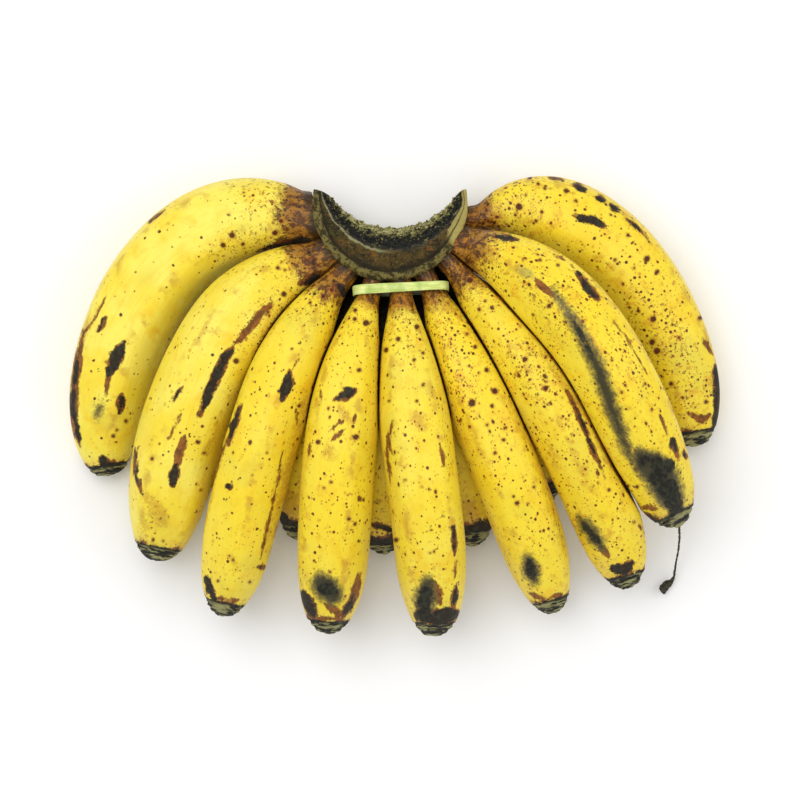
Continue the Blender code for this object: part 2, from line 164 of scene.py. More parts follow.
# Marks the photograph shows, by banana and kind: how wide each is, and the pixels of its path
MARKS = {
    "front_banana_1": {
        "black": ((13, (123, 343), (116, 358), (109, 374)), (8, (121, 394), (120, 412)),
                  # The first mark below is painted shade on the shaded underside of the neck near the crown
                  (9, (258, 253), (284, 245), (308, 240)), (4.5, (105, 318), (98, 332)),
                  (6, (79, 348), (74, 387), (72, 407), (79, 441)), (3, (149, 222), (165, 210)),
                  (12, (103, 460), (110, 470))),
        "brown": ((6, (106, 360), (108, 375), (106, 398)), (2.5, (100, 396), (105, 401), (111, 400)),
                  (4, (106, 297), (94, 320), (84, 333)),
                  (9, (84, 330), (76, 375), (73, 420), (80, 447))),
        "grey": ((17, (99, 406), (98, 416)),),
        "soot": ((9, (100, 404), (98, 416)),),
        "dense": ((34, (220, 252), (232, 243), (250, 238)), (28, (275, 228), (290, 215))),
        "tan": ((20, (287, 195), (300, 215), (300, 240)), (5, (152, 440), (180, 385), (222, 330))),
    },
    "front_banana_2": {
        "black": ((10.5, (234, 347), (226, 356), (216, 376), (209, 392), (200, 415)),
                  (3.5, (182, 387), (177, 393), (173, 402)), (10, (176, 466), (172, 484)),
                  (3.5, (135, 448), (136, 476), (143, 495)), (8, (300, 284), (318, 278))),
        "brown": ((9, (233, 347), (248, 330), (260, 314), (274, 301)),
                  (4.5, (184, 409), (176, 424), (169, 441)), (10, (185, 435), (181, 450), (176, 468))),
        "dense": ((34, (240, 345), (262, 318), (290, 292)), (18, (145, 528), (152, 520))),
        "tan": ((19, (152, 502), (163, 520)), (7, (213, 331), (218, 332)), (26, (296, 258), (306, 268)),
                (5, (232, 440), (258, 385), (285, 330))),
    },
    "front_banana_3": {
        "black": ((11, (290, 371), (287, 385), (283, 399)), (6, (242, 404), (234, 424), (228, 444)),
                  (5.5, (227, 486), (231, 488)), (5, (259, 567), (265, 567)),
                  # The last mark below is painted shade at the right edge of the neck near the band
                  (7, (206, 577), (210, 589), (216, 602)), (8, (338, 284), (347, 297))),
        "brown": ((5, (300, 357), (292, 371)), (5, (228, 436), (216, 468), (210, 492)),
                  (4, (296, 403), (297, 428)), (3, (287, 420), (278, 480), (267, 527), (260, 560)),
                  (4.5, (265, 538), (261, 557)), (4, (216, 598), (242, 601))),
        "tan": ((9, (306, 390), (296, 440), (280, 500), (266, 548)), (18, (322, 296), (330, 290))),
        "dense": ((30, (318, 305), (330, 312)),),
    },
    "front_banana_4": {
        "black": ((10, (336, 399), (345, 395), (354, 391)), (11, (303, 592), (310, 606), (316, 620)),
                  (8, (354, 594), (349, 606), (342, 618))),
        "brown": ((4, (329, 432), (337, 424), (344, 421)), (6, (331, 441), (338, 435), (345, 429)),
                  (4, (311, 442), (309, 456)), (3, (321, 389), (320, 405)), (5, (356, 414), (353, 423)),
                  (6, (359, 498), (363, 500)), (9, (360, 572), (355, 592), (347, 612)),
                  (9, (322, 602), (337, 612), (338, 620)), (6, (312, 619), (346, 619))),
        "tan": ((14, (327, 450), (331, 454)), (12, (340, 408), (348, 420)),
                (18, (361, 300), (378, 304))),
        "dense": ((24, (366, 322), (374, 330)),),
        "soot": ((30, (322, 584), (332, 594)),),
    },
    "front_banana_5": {
        "tan": ((17, (416, 417), (423, 425)), (4, (438, 430), (440, 442)),
                (17, (394, 300), (415, 303))),
        "brown": ((5.5, (440, 443), (444, 466)), (5, (393, 420), (389, 436), (388, 443), (393, 456)),
                  (4, (386, 443), (391, 484)), (2.5, (458, 554), (454, 580)),
                  (9, (433, 580), (438, 592), (440, 606)), (8, (456, 584), (453, 606)),
                  (3.5, (437, 519), (444, 516)), (2, (424, 532), (436, 529))),
        "soot": ((26, (427, 584), (424, 612)),),
        "black": ((4, (454, 526), (455, 554)), (5, (456, 586), (453, 610)),
                  (17, (430, 619), (441, 617), (455, 613))),
        "dense": ((30, (400, 340), (410, 350)),),
    },
    "front_banana_6": {
        "dense": ((34, (449, 352), (458, 372), (470, 400)),),
        # The long tan line below is painted shade along the right side, where the seventh banana lies above
        # it
        "tan": ((17, (430, 302), (451, 308)), (9, (510, 400), (536, 450), (565, 550))),
        "soot": ((20, (528, 559), (534, 580)),),
        "black": ((9, (529, 562), (533, 577)),),
        "brown": ((6, (551, 597), (566, 594)), (6, (529, 593), (545, 600)),
                  (6, (492, 390), (497, 393))),
    },
    "front_banana_7": {
        "black": ((4.5, (567, 391), (582, 423), (596, 457), (603, 472)),
                  (6, (584, 524), (592, 534), (599, 543)), (11, (613, 568), (624, 570), (632, 563))),
        "brown": ((2.5, (598, 462), (606, 480)), (5, (540, 390), (548, 387)),
                  (9, (600, 545), (608, 556)), (4, (639, 525), (645, 534))),
        "tan": ((8, (548, 443), (554, 457), (559, 471)), (20, (480, 283), (470, 279)),
                (8, (540, 352), (590, 420), (625, 500))),
        "soot": ((18, (578, 517), (591, 532), (604, 550)),),
        "dense": ((40, (520, 350), (545, 395)),),
    },
    "front_banana_8": {
        "black": ((8, (577, 272), (587, 287), (599, 299)), (4, (572, 318), (584, 340), (594, 360)),
                  # The first mark below is painted shade in the crease by the ninth banana near the crown
                  (5, (494, 236), (518, 240)), (4, (670, 449), (672, 441), (675, 448), (679, 460)),
                  (5, (683, 452), (685, 457)), (7, (645, 514), (665, 527))),
        "brown": ((3, (570, 264), (577, 273)), (3.5, (552, 256), (565, 260)),
                  (9, (535, 279), (545, 288), (556, 298)), (3, (608, 310), (628, 340), (648, 376)),
                  (4.5, (660, 415), (667, 436)), (6, (642, 507), (660, 509))),
        "grey": ((16, (522, 270), (530, 276)),),
        "dense": ((44, (535, 279), (555, 300), (575, 330)), (26, (475, 250), (492, 262))),
        "soot": ((19, (552, 288), (582, 336), (598, 368), (610, 404), (622, 437), (636, 470)),
                 (38, (640, 456), (660, 474), (676, 508))),
        "tan": ((24, (470, 246), (490, 256)),),
    },
    "front_banana_9": {
        "black": ((8, (578, 217), (592, 220), (606, 226)), (3, (549, 177), (563, 180)),
                  (6, (574, 184), (585, 190)), (4.5, (598, 197), (604, 200)),
                  (5.5, (611, 206), (618, 211)), (3, (628, 220), (640, 231)),
                  # The last mark below is painted shade in the crease by the eighth banana near the crown
                  (8, (715, 366), (718, 387), (715, 432)), (4, (476, 231), (500, 233))),
        "brown": ((4, (571, 215), (580, 217)), (4, (624, 216), (648, 239)), (5, (702, 338), (713, 355)),
                  (9, (688, 412), (700, 420), (711, 415))),
        "tan": ((6, (604, 226), (612, 231)), (26, (478, 210), (500, 222))),
        "dense": ((30, (484, 212), (505, 228)), (60, (640, 300), (680, 400))),
    },
    "back_banana_2": {
        "tan": ((30, (290, 500), (286, 528)),),
        "black": ((22, (283, 524), (298, 540)),),
    },
    "back_banana_3": {
        "dense": ((30, (380, 500), (380, 530)),),
        "black": ((6, (372, 524), (392, 530)), (16, (370, 543), (394, 545))),
    },
    "back_banana_4": {
        "tan": ((24, (470, 505), (468, 530)),),
        "black": ((18, (478, 528), (492, 545)),),
    },
}

# Dark round spots the photograph shows, by banana: pixel across, pixel down, radius in pixels
SPOTS = {
    "front_banana_1": ((113, 436, 2.5), (117, 430, 2), (126, 421, 2.5), (232, 235, 3.5), (223, 245, 3),
                       (243, 244, 2.5), (275, 233, 3), (281, 221, 3), (209, 181, 2)),
    "front_banana_2": ((313, 260, 4.5), (288, 254, 1.8), (278, 268, 2.6), (285, 270, 2.2),
                       (284, 294, 3.2), (152, 459, 2.4), (198, 442, 3), (204, 453, 2.2),
                       (201, 490, 1.8), (153, 540, 2), (163, 541, 2), (268, 312, 2.6), (236, 361, 3.4)),
    "front_banana_3": ((323, 296, 2.6), (332, 290, 2.4), (310, 303, 2), (229, 556, 1.8), (233, 560, 2),
                       (250, 582, 2), (218, 581, 2), (267, 453, 1.8), (252, 475, 1.5), (292, 349, 2),
                       (299, 406, 2.4)),
    "front_banana_4": ((326, 588, 7), (333, 592, 5), (331, 482, 2.2), (324, 488, 2), (349, 519, 2.6),
                       (355, 524, 2.4), (359, 370, 2.8), (356, 437, 3.6), (318, 442, 3),
                       (355, 319, 2.4), (355, 310, 2.4), (366, 323, 3.4), (343, 388, 1.8),
                       (330, 572, 2.2), (321, 397, 1.6)),
    "front_banana_5": ((426, 592, 6), (423, 603, 8), (425, 614, 10), (438, 616, 8), (417, 327, 2.8),
                       (398, 339, 2.8), (386, 350, 3), (423, 353, 2.2), (414, 360, 2.2),
                       (423, 385, 2.4), (417, 401, 2), (389, 401, 2), (396, 540, 2.8), (405, 480, 2),
                       (404, 467, 1.8), (422, 487, 1.8), (430, 553, 1.8)),
    "front_banana_6": ((531, 571, 6), (475, 347, 2.6), (467, 334, 1.8), (487, 370, 2.8), (479, 373, 2),
                       (495, 391, 3.6), (472, 403, 4), (492, 406, 2.8), (460, 421, 2.2),
                       (487, 425, 2.2), (505, 428, 2.4), (504, 440, 2.2), (495, 453, 2.4),
                       (534, 487, 2), (517, 503, 2.6), (528, 504, 2)),
    "front_banana_7": ((470, 280, 3.4), (485, 301, 1.8), (525, 359, 3.2), (546, 357, 2.2),
                       (527, 372, 2), (546, 388, 3), (572, 434, 1.6), (609, 490, 2.4), (634, 522, 2.2),
                       (598, 483, 1.6)),
    "front_banana_8": ((644, 461, 7), (657, 464, 8), (668, 466, 8), (658, 477, 10), (668, 489, 11),
                       (674, 501, 10), (677, 513, 9), (549, 306, 3), (540, 260, 2.2), (523, 260, 2),
                       (558, 265, 2), (645, 384, 2.4), (622, 392, 2.4), (612, 360, 1.8), (636, 469, 3),
                       (637, 487, 2.4), (628, 486, 2), (624, 441, 3), (652, 410, 2), (533, 315, 2),
                       (575, 318, 2)),
    "front_banana_9": ((519, 207, 4), (545, 188, 2.4), (566, 191, 3), (576, 201, 2.4), (526, 195, 2),
                       (536, 221, 2.2), (542, 212, 2.2), (647, 259, 3.6), (615, 260, 2.4),
                       (623, 284, 2.2), (657, 272, 3), (653, 319, 3.8), (638, 311, 2.6),
                       (679, 338, 2.2), (652, 342, 3.4), (657, 351, 3.8), (671, 384, 3),
                       (700, 318, 2.8), (683, 398, 2.2), (530, 178, 2.6), (538, 184, 2.2),
                       (628, 235, 2.6), (634, 268, 2.2), (706, 402, 2.6)),
}


class Ripeness(NamedTuple):
    """How freckled a banana is, how brown its sides are where it faces its neighbours (real browning
    and painted shade together), how pale its yellow is, how many mm of its neck are brown, and how
    many mm of its blossom end's dry stub a view from above shows."""
    freckled: float = 0.6
    side_brown_and_shade: float = 0.8
    pale: float = 0.2
    brown_neck: float = 15.0
    stub_seen: float = 7.6


RIPENESS = {
    "front_banana_1": Ripeness(0.14, 0.45, 1.0, 13.0, 5.4),
    "front_banana_2": Ripeness(0.28, 0.55, 0.7, 15.0),
    "front_banana_3": Ripeness(0.42, 0.7, 0.3, 17.0),
    "front_banana_4": Ripeness(0.58, 0.7, 0.25, 11.0),
    "front_banana_5": Ripeness(0.56, 0.7, 0.45, 15.0),
    "front_banana_6": Ripeness(0.84, 0.7, 0.25, 14.0),
    "front_banana_7": Ripeness(0.95, 0.7, 0.25, 17.0),
    "front_banana_8": Ripeness(0.95, 0.9, 0.2, 19.0),
    "front_banana_9": Ripeness(0.80, 0.8, 0.3, 11.0),
}
MARK_KINDS = ("black", "spot", "brown", "tan", "grey", "soot", "dense")
FAR_FROM_MARK = -9.0
HIDDEN_MARKS_SEED = 11
# Spots smaller than this many pixels are dark brown, not black, and all are drawn a little smaller
SMALL_SPOT = 4.2
SPOT_SHRINK = 0.32
# The photograph's marks fade where the skin's way out points less upward, and end at the lowest
STEEP_BELOW = 0.25
STEEP_FADE = 4.5
LOWEST_SEEN = -0.2

# Crown skin
CROWN_STATIONS = 420
CROWN_SIDES = 190

# Tie band
BAND_CENTRE = (3.0, 51.0, 43.6)
BAND_LEAN = -5.0
BAND_TURN = 3.0
BAND_INNER_WIDTH = 40.2
BAND_INNER_HEIGHT = 14.2
BAND_CORNER_RADIUS = 5.5
BAND_BREADTH = 4.2
BAND_THICKNESS = 0.9
BAND_STEPS = 180

# Dried flower thread: points and share of its thickness
THREAD_RADIUS = 0.6
THREAD_STATIONS = 120
THREAD_SIDES = 20
THREAD = (
    ((125.6, -52.4, 28.8), 1.0), ((126.4, -57.5, 23.0), 0.9), ((126.7, -64.0, 15.0), 0.8),
    ((126.3, -70.0, 8.5), 0.8), ((125.9, -76.0, 4.2), 1.0), ((125.0, -78.8, 3.8), 1.8),
    ((122.9, -80.0, 3.6), 3.4), ((120.9, -82.0, 3.6), 3.6), ((121.6, -84.4, 3.6), 2.4),
)


def unit(vectors):
    """Vectors of length one along the last axis."""
    return vectors / np.maximum(np.linalg.norm(vectors, axis=-1, keepdims=True), 1e-9)


def smooth(low, high, value):
    """0 below low, 1 above high, and a soft step between them."""
    t = np.clip((value - low) / (high - low), 0.0, 1.0)
    return t * t * (3.0 - 2.0 * t)


def blend(where, run, rows):
    """Rows of numbers known along a run, read off at other places along it."""
    return np.stack([np.interp(where, run, rows[:, k]) for k in range(rows.shape[1])], axis=1)


def lengths_along(points):
    """How far along a line of points each of them lies."""
    return np.concatenate([[0.0], np.cumsum(np.linalg.norm(np.diff(points, axis=0), axis=1))])


def wave_noise(points, size, seed, waves=24):
    """Smooth seeded noise round 0, about 1 high, with lumps of the given size in mm."""
    rng = np.random.default_rng(seed)
    ways = unit(rng.normal(size=(waves, 3))) * rng.uniform(0.6, 1.6, size=(waves, 1))
    phases = rng.uniform(0.0, 2.0 * math.pi, size=waves)
    total = np.sin(points @ ways.T * (2.0 * math.pi / size) + phases).sum(axis=-1)
    return total / math.sqrt(waves / 2.0)


def outward(angle):
    """Level direction away from the stalk's axis at an angle in degrees."""
    turn = math.radians(angle)
    return np.array([math.sin(turn), -math.cos(turn), 0.0])


def half_thickness(finger, share):
    """A banana's half thickness by share of its length, from neck to blossom end."""
    rise = np.clip((share - NECK_SHARE) / finger.swell, 0.0, 1.0) ** 1.3
    belly = finger.neck + (finger.girth - finger.neck) * (1.0 - (1.0 - rise) ** 3)
    fall = np.clip((share - finger.round_off) / (1.0 - finger.round_off), 0.0, 1.0)
    return belly * (BLOSSOM_END_GIRTH + (1.0 - BLOSSOM_END_GIRTH) * (1.0 - fall ** 3.4) ** 0.75)


class Spine:
    """A banana's centre line, with its directions and half thickness at each station."""

    def __init__(self, finger, stations):
        root = np.array([*CROWN_CENTRE, finger.root_height]) + ROOT_RADIUS * outward(finger.root_angle)
        steer = np.array([root, finger.shoulder, finger.belly, finger.tip], dtype=float)
        fine = self.curve(steer, np.linspace(0.0, 1.0, 400))
        run = lengths_along(fine)
        self.share = np.asarray(stations)
        self.length = run[-1]
        self.centre = blend(self.share * run[-1], run, fine)
        tangent = blend(self.share * run[-1], run, unit(np.gradient(fine, axis=0)))
        at_root = np.clip(1.0 - self.share * self.length / ROOT_TURN_LENGTH, 0.0, 1.0)[:, None]
        self.tangent = unit(tangent * (1.0 - at_root) + outward(finger.root_angle) * at_root)
        chord = steer[3] - steer[0]
        bow = (steer[1] + steer[2]) / 2.0 - (steer[0] + steer[3]) / 2.0
        across = unit(np.cross(chord, bow))
        self.out = unit(np.cross(across, self.tangent))
        self.side = np.cross(self.tangent, self.out)
        self.half = half_thickness(finger, self.share)

    @staticmethod
    def curve(steer, steps):
        """A cubic Bezier curve through its four steering points."""
        t = steps[:, None]
        return ((1 - t) ** 3 * steer[0] + 3 * t * (1 - t) ** 2 * steer[1]
                + 3 * t ** 2 * (1 - t) * steer[2] + t ** 3 * steer[3])


def ridged(turn):
    """1 on a banana's ridges and 0 midway between them, by angle."""
    return np.abs(np.cos(RIDGES / 2.0 * (turn - math.pi / RIDGES)))


def section(turn, share):
    """A banana section's radius by angle, as a share of its girth: round at neck and tip."""
    fullness = np.clip(np.minimum((share - 0.06) / 0.2, (0.97 - share) / 0.08), 0.0, 1.0)
    return 1.0 + RIDGE_HEIGHT * fullness * (ridged(turn) ** 3 - 0.4)


def skin_distance(points, spine):
    """How far points lie outside a banana's undeformed skin, and the way out of it there."""
    reach = points[:, None, :] - spine.centre[None]
    nearest = np.argmin(np.linalg.norm(reach, axis=2) - spine.half, axis=1)
    arm = reach[np.arange(len(points)), nearest]
    turn = np.arctan2((arm * spine.side[nearest]).sum(axis=1), (arm * spine.out[nearest]).sum(axis=1))
    oval = np.hypot(SECTION_DEPTH * np.cos(turn), SECTION_WIDTH * np.sin(turn))
    radius = spine.half[nearest] * section(turn, spine.share[nearest]) * oval
    return np.linalg.norm(arm, axis=1) - radius, unit(arm)


class Skin:
    """A banana's fine surface: its points ring by ring, and what the shader needs at each."""

    def __init__(self, finger, seed, others):
        self.finger = finger
        even = np.linspace(0.0, 1.0, SKIN_STATIONS)
        spine = Spine(finger, even + 0.018 * np.sin(2.0 * math.pi * even) * (even > 0.5))
        turn = math.pi / RIDGES + np.arange(SKIN_SIDES) * 2.0 * math.pi / SKIN_SIDES
        self.turn = np.tile(turn, SKIN_STATIONS)
        self.share = np.repeat(spine.share, SKIN_SIDES)
        self.length = spine.length
        self.along = self.share * spine.length
        half = np.repeat(spine.half, SKIN_SIDES) - SKIN_INSET
        arm = (SECTION_DEPTH * np.cos(self.turn)[:, None] * np.repeat(spine.out, SKIN_SIDES, axis=0)
               + SECTION_WIDTH * np.sin(self.turn)[:, None] * np.repeat(spine.side, SKIN_SIDES, axis=0))
        self.peel = np.stack([half * np.cos(self.turn), half * np.sin(self.turn), self.along], axis=1)
        lumps = wave_noise(self.peel * (1.0, 1.0, 0.45), LUMP_SIZE, seed) * WOBBLE
        lumps += wave_noise(self.peel * (1.0, 1.0, 0.3), SMALL_LUMP_SIZE, seed + 1) * WOBBLE * 0.22
        arm *= (half * section(self.turn, self.share) * (1.0 + lumps))[:, None]
        self.centre = np.repeat(spine.centre, SKIN_SIDES, axis=0)
        self.way = unit(arm)
        self.points, self.clearance = self.press(arm, others)
        self.stub = self.stub_depth(spine)
        self.points = self.finish_ends()
        self.points[:, 2] = np.maximum(self.points[:, 2], 0.0)

    def press(self, arm, others):
        """Flatten the skin where neighbours lie against it, and note how close they are."""
        reach = np.linalg.norm(arm, axis=1)
        sink = np.zeros(len(arm))
        clearance = np.full(len(arm), FAR_APART)
        for round_number in range(PRESS_ROUNDS):
            for other in others:
                clear, apart = skin_distance(self.centre + arm - self.way * sink[:, None], other)
                overlap = CONTACT_GAP - sink - clear
                ease = np.maximum(1.0 - (self.way * apart).sum(axis=1), 0.4)
                sink = np.minimum(sink + np.maximum(overlap, 0.0) / ease, 0.8 * reach)
                if round_number == PRESS_ROUNDS - 1:
                    clearance = np.minimum(clearance, clear + sink)
        return self.centre + arm - self.way * sink[:, None], clearance

    def stub_depth(self, spine):
        """How many mm inside the blossom end's dry stub each point lies: what a view from above
        shows of the end, and a shorter piece of it below."""
        toward = spine.tangent[-1, :2] / np.linalg.norm(spine.tangent[-1, :2])
        reach = self.points[:, :2] @ toward
        seen = RIPENESS.get(self.finger.name, Ripeness()).stub_seen - (reach.max() - reach)
        from_end = self.along - self.length
        return np.maximum(np.minimum(seen, from_end + STUB_LONGEST), from_end + STUB_BELOW)

    def finish_ends(self):
        """Sink the neck into the crown and roughen the blossom end's stub."""
        sink = ROOT_SINK * (1.0 - smooth(0.0, 4.0, self.along))
        points = self.points - outward(self.finger.root_angle) * sink[:, None]
        stub = smooth(-0.8, 0.8, self.stub)
        rough = wave_noise(self.peel, 3.4, 77) * 0.20 + wave_noise(self.peel, 1.5, 78) * 0.09
        steps = 0.20 * np.sin(self.stub * 2.6 + wave_noise(self.peel, 9.0, 79))
        rim = np.exp(-(self.stub / 0.7) ** 2) * 0.15
        points += self.way * (stub * (rough + steps - 0.4) + rim)[:, None]
        neck = 1.0 - smooth(6.0, 16.0, self.along)
        wander = wave_noise(self.peel * (0.2, 0.2, 0.1), 9.0, 5)
        grooves = np.abs(np.sin(self.turn * 6.0 + wander)) - 0.6
        points += self.way * (neck * 0.28 * grooves)[:, None]
        return points

    def rings(self):
        """The skin's rings, with those of the cap that closes the blossom end."""
        rings = self.points.reshape(-1, SKIN_SIDES, 3)
        last = rings[-1]
        middle = last.mean(axis=0)
        back = unit(rings[-4].mean(axis=0) - middle)
        extra = []
        for number, (depth, share) in enumerate(CAP_RINGS):
            ring = middle + (last - middle) * share + back * depth
            ring = ring + back * (0.18 * wave_noise(ring, 1.8, 90 + number)[:, None])
            extra.append(ring)
        return np.concatenate([rings, extra])


def photo_pixel(points):
    """Where points in mm show in the photograph, in pixels across and down."""
    scale = CAMERA_LENS / SENSOR_WIDTH * PHOTO_SIZE / (CAMERA_HEIGHT - points[:, 2])
    across = PHOTO_SIZE / 2.0 + (points[:, 0] - CAMERA_AIM[0]) * scale
    down = PHOTO_SIZE / 2.0 - (points[:, 1] - CAMERA_AIM[1]) * scale
    return np.stack([across, down], axis=1)


def path_field(places, path, width):
    """How far places lie inside a tapering mark along a path: positive inside, in the same unit."""
    best = np.full(len(places), FAR_FROM_MARK / PIXEL_MM)
    corners = np.array(path, dtype=float)
    length = np.linalg.norm(np.diff(corners, axis=0), axis=1).sum()
    taper = 0.65 * min(1.0, length / (2.5 * width))
    for k, (a, b) in enumerate(zip(corners, corners[1:])):
        run = b - a
        t = np.clip((places - a) @ run / (run @ run), 0.0, 1.0)
        whole = (k + t) / (len(corners) - 1)
        half = width / 2.0 * (1.0 - taper * np.abs(2.0 * whole - 1.0) ** 2.5)
        best = np.maximum(best, half - np.linalg.norm(places - (a + t[:, None] * run), axis=1))
    return best


def add_mark(fields, kind, depth):
    """Let a field rise to a depth in mm wherever it lies below it."""
    fields[kind] = np.maximum(fields[kind], depth)


def mark_fields(skin):
    """For each kind of mark, how many mm inside it each point of the skin lies."""
    fields = {kind: np.full(len(skin.points), FAR_FROM_MARK) for kind in MARK_KINDS}
    pixels = photo_pixel(skin.points)
    seen = skin.way[:, 2] > LOWEST_SEEN
    steep = STEEP_FADE * np.maximum(STEEP_BELOW - skin.way[:, 2], 0.0)
    name = skin.finger.name
    for kind, marks in MARKS.get(name, {}).items():
        for width, *path in marks:
            depth = path_field(pixels, path, width) * PIXEL_MM - steep
            add_mark(fields, kind, np.where(seen, depth, FAR_FROM_MARK))
    for across, down, radius in SPOTS.get(name, ()):
        depth = (radius - np.linalg.norm(pixels - (across, down), axis=1)) * PIXEL_MM
        kind = "spot" if radius < SMALL_SPOT else "black"
        add_mark(fields, kind, np.where(seen, depth - SPOT_SHRINK, FAR_FROM_MARK))
    add_hidden_marks(skin, fields, seen)
    add_end_marks(skin, fields)
    return fields


def add_hidden_marks(skin, fields, seen):
    """A few seeded bruises on the sides that the photograph doesn't show."""
    rng = np.random.default_rng(HIDDEN_MARKS_SEED + sum(map(ord, skin.finger.name)))
    for kind in ("black", "brown", "brown", "tan", "tan", "black"):
        middle = rng.uniform(0.2, 0.85) * skin.length
        turn = rng.uniform(-math.pi, math.pi)
        long, wide = rng.uniform(3.0, 14.0), rng.uniform(1.2, 3.6)
        aside = (skin.turn - turn + math.pi) % (2.0 * math.pi) - math.pi
        gap = np.hypot((skin.along - middle) / long, aside * skin.finger.girth / wide)
        add_mark(fields, kind, np.where(seen, FAR_FROM_MARK, (1.0 - gap) * wide))


def add_end_marks(skin, fields):
    """Freckled necks, the brown and tan fringe of the dark blossom end, and on the back row painted shade:
    black over the first 55 mm, which lie hidden under the front row.
    """
    fringe = 0.9 * ridged(skin.turn) ** 6
    add_mark(fields, "dense", (30.0 - skin.along) * 0.2)
    add_mark(fields, "brown", skin.stub * 0.5 + fringe)
    add_mark(fields, "tan", (skin.stub + 1.6) * 0.5 + fringe)
    # Painted shade: the back row's first 55 mm lie under the front row and are painted black, joined to the
    # dark blossom end
    if skin.finger.name.startswith("back"):
        add_mark(fields, "black", np.maximum(skin.stub + 4.0, 55.0 - skin.along) * 0.4)


def new_mesh(name, rings):
    """A closed mesh through rings of equally many points in mm, moved so the hand is centred."""
    count, sides = rings.shape[:2]
    poles = np.stack([rings[0].mean(axis=0), rings[-1].mean(axis=0)])
    points = np.concatenate([rings.reshape(-1, 3), poles]) - (*HAND_MIDDLE, 0.0)
    i = np.arange(sides)
    j = (i + 1) % sides
    faces = []
    for row in range(count - 1):
        low, high = row * sides, (row + 1) * sides
        faces.append(np.stack([low + i, low + j, high + j, high + i], axis=1))
    quads = np.concatenate(faces).tolist()
    start, end = count * sides, count * sides + 1
    fans = np.stack([j, i, np.full(sides, start)], axis=1).tolist()
    last = (count - 1) * sides
    fans += np.stack([last + i, last + j, np.full(sides, end)], axis=1).tolist()
    mesh = bpy.data.meshes.new(name)
    mesh.from_pydata(np.clip(points * MM, *CAD_BOX).tolist(), [], quads + fans)
    if signed_volume(points, rings, count, sides) < 0.0:
        mesh.flip_normals()
    mesh.shade_smooth()
    return mesh


def signed_volume(points, rings, count, sides):
    """Positive where the rings' quads face outward."""
    grid = points[:count * sides].reshape(count, sides, 3)
    middle = grid.reshape(-1, 3).mean(axis=0)
    a, b = grid[:-1] - middle, np.roll(grid, -1, axis=1)[:-1] - middle
    c = np.roll(grid, -1, axis=1)[1:] - middle
    d = grid[1:] - middle
    return float((np.cross(a, b) * c).sum() + (np.cross(a, c) * d).sum())


def add_attribute(mesh, name, values):
    """Store one number, or one vector, for each point of a mesh."""
    values = np.asarray(values, dtype=np.float32)
    kind, field = ("FLOAT_VECTOR", "vector") if values.ndim == 2 else ("FLOAT", "value")
    layer = mesh.attributes.new(name, kind, "POINT")
    layer.data.foreach_set(field, values.ravel())


def dress(piece, slot, *nodes):
    """Let a piece stand for its plain solids and move with them."""
    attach(piece, "root")
    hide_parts(*nodes)


def link(name, mesh, material):
    """A new object of the scene with one material."""
    thing = bpy.data.objects.new(name, mesh)
    thing.data.materials.append(material)
    bpy.context.scene.collection.objects.link(thing)
    return thing


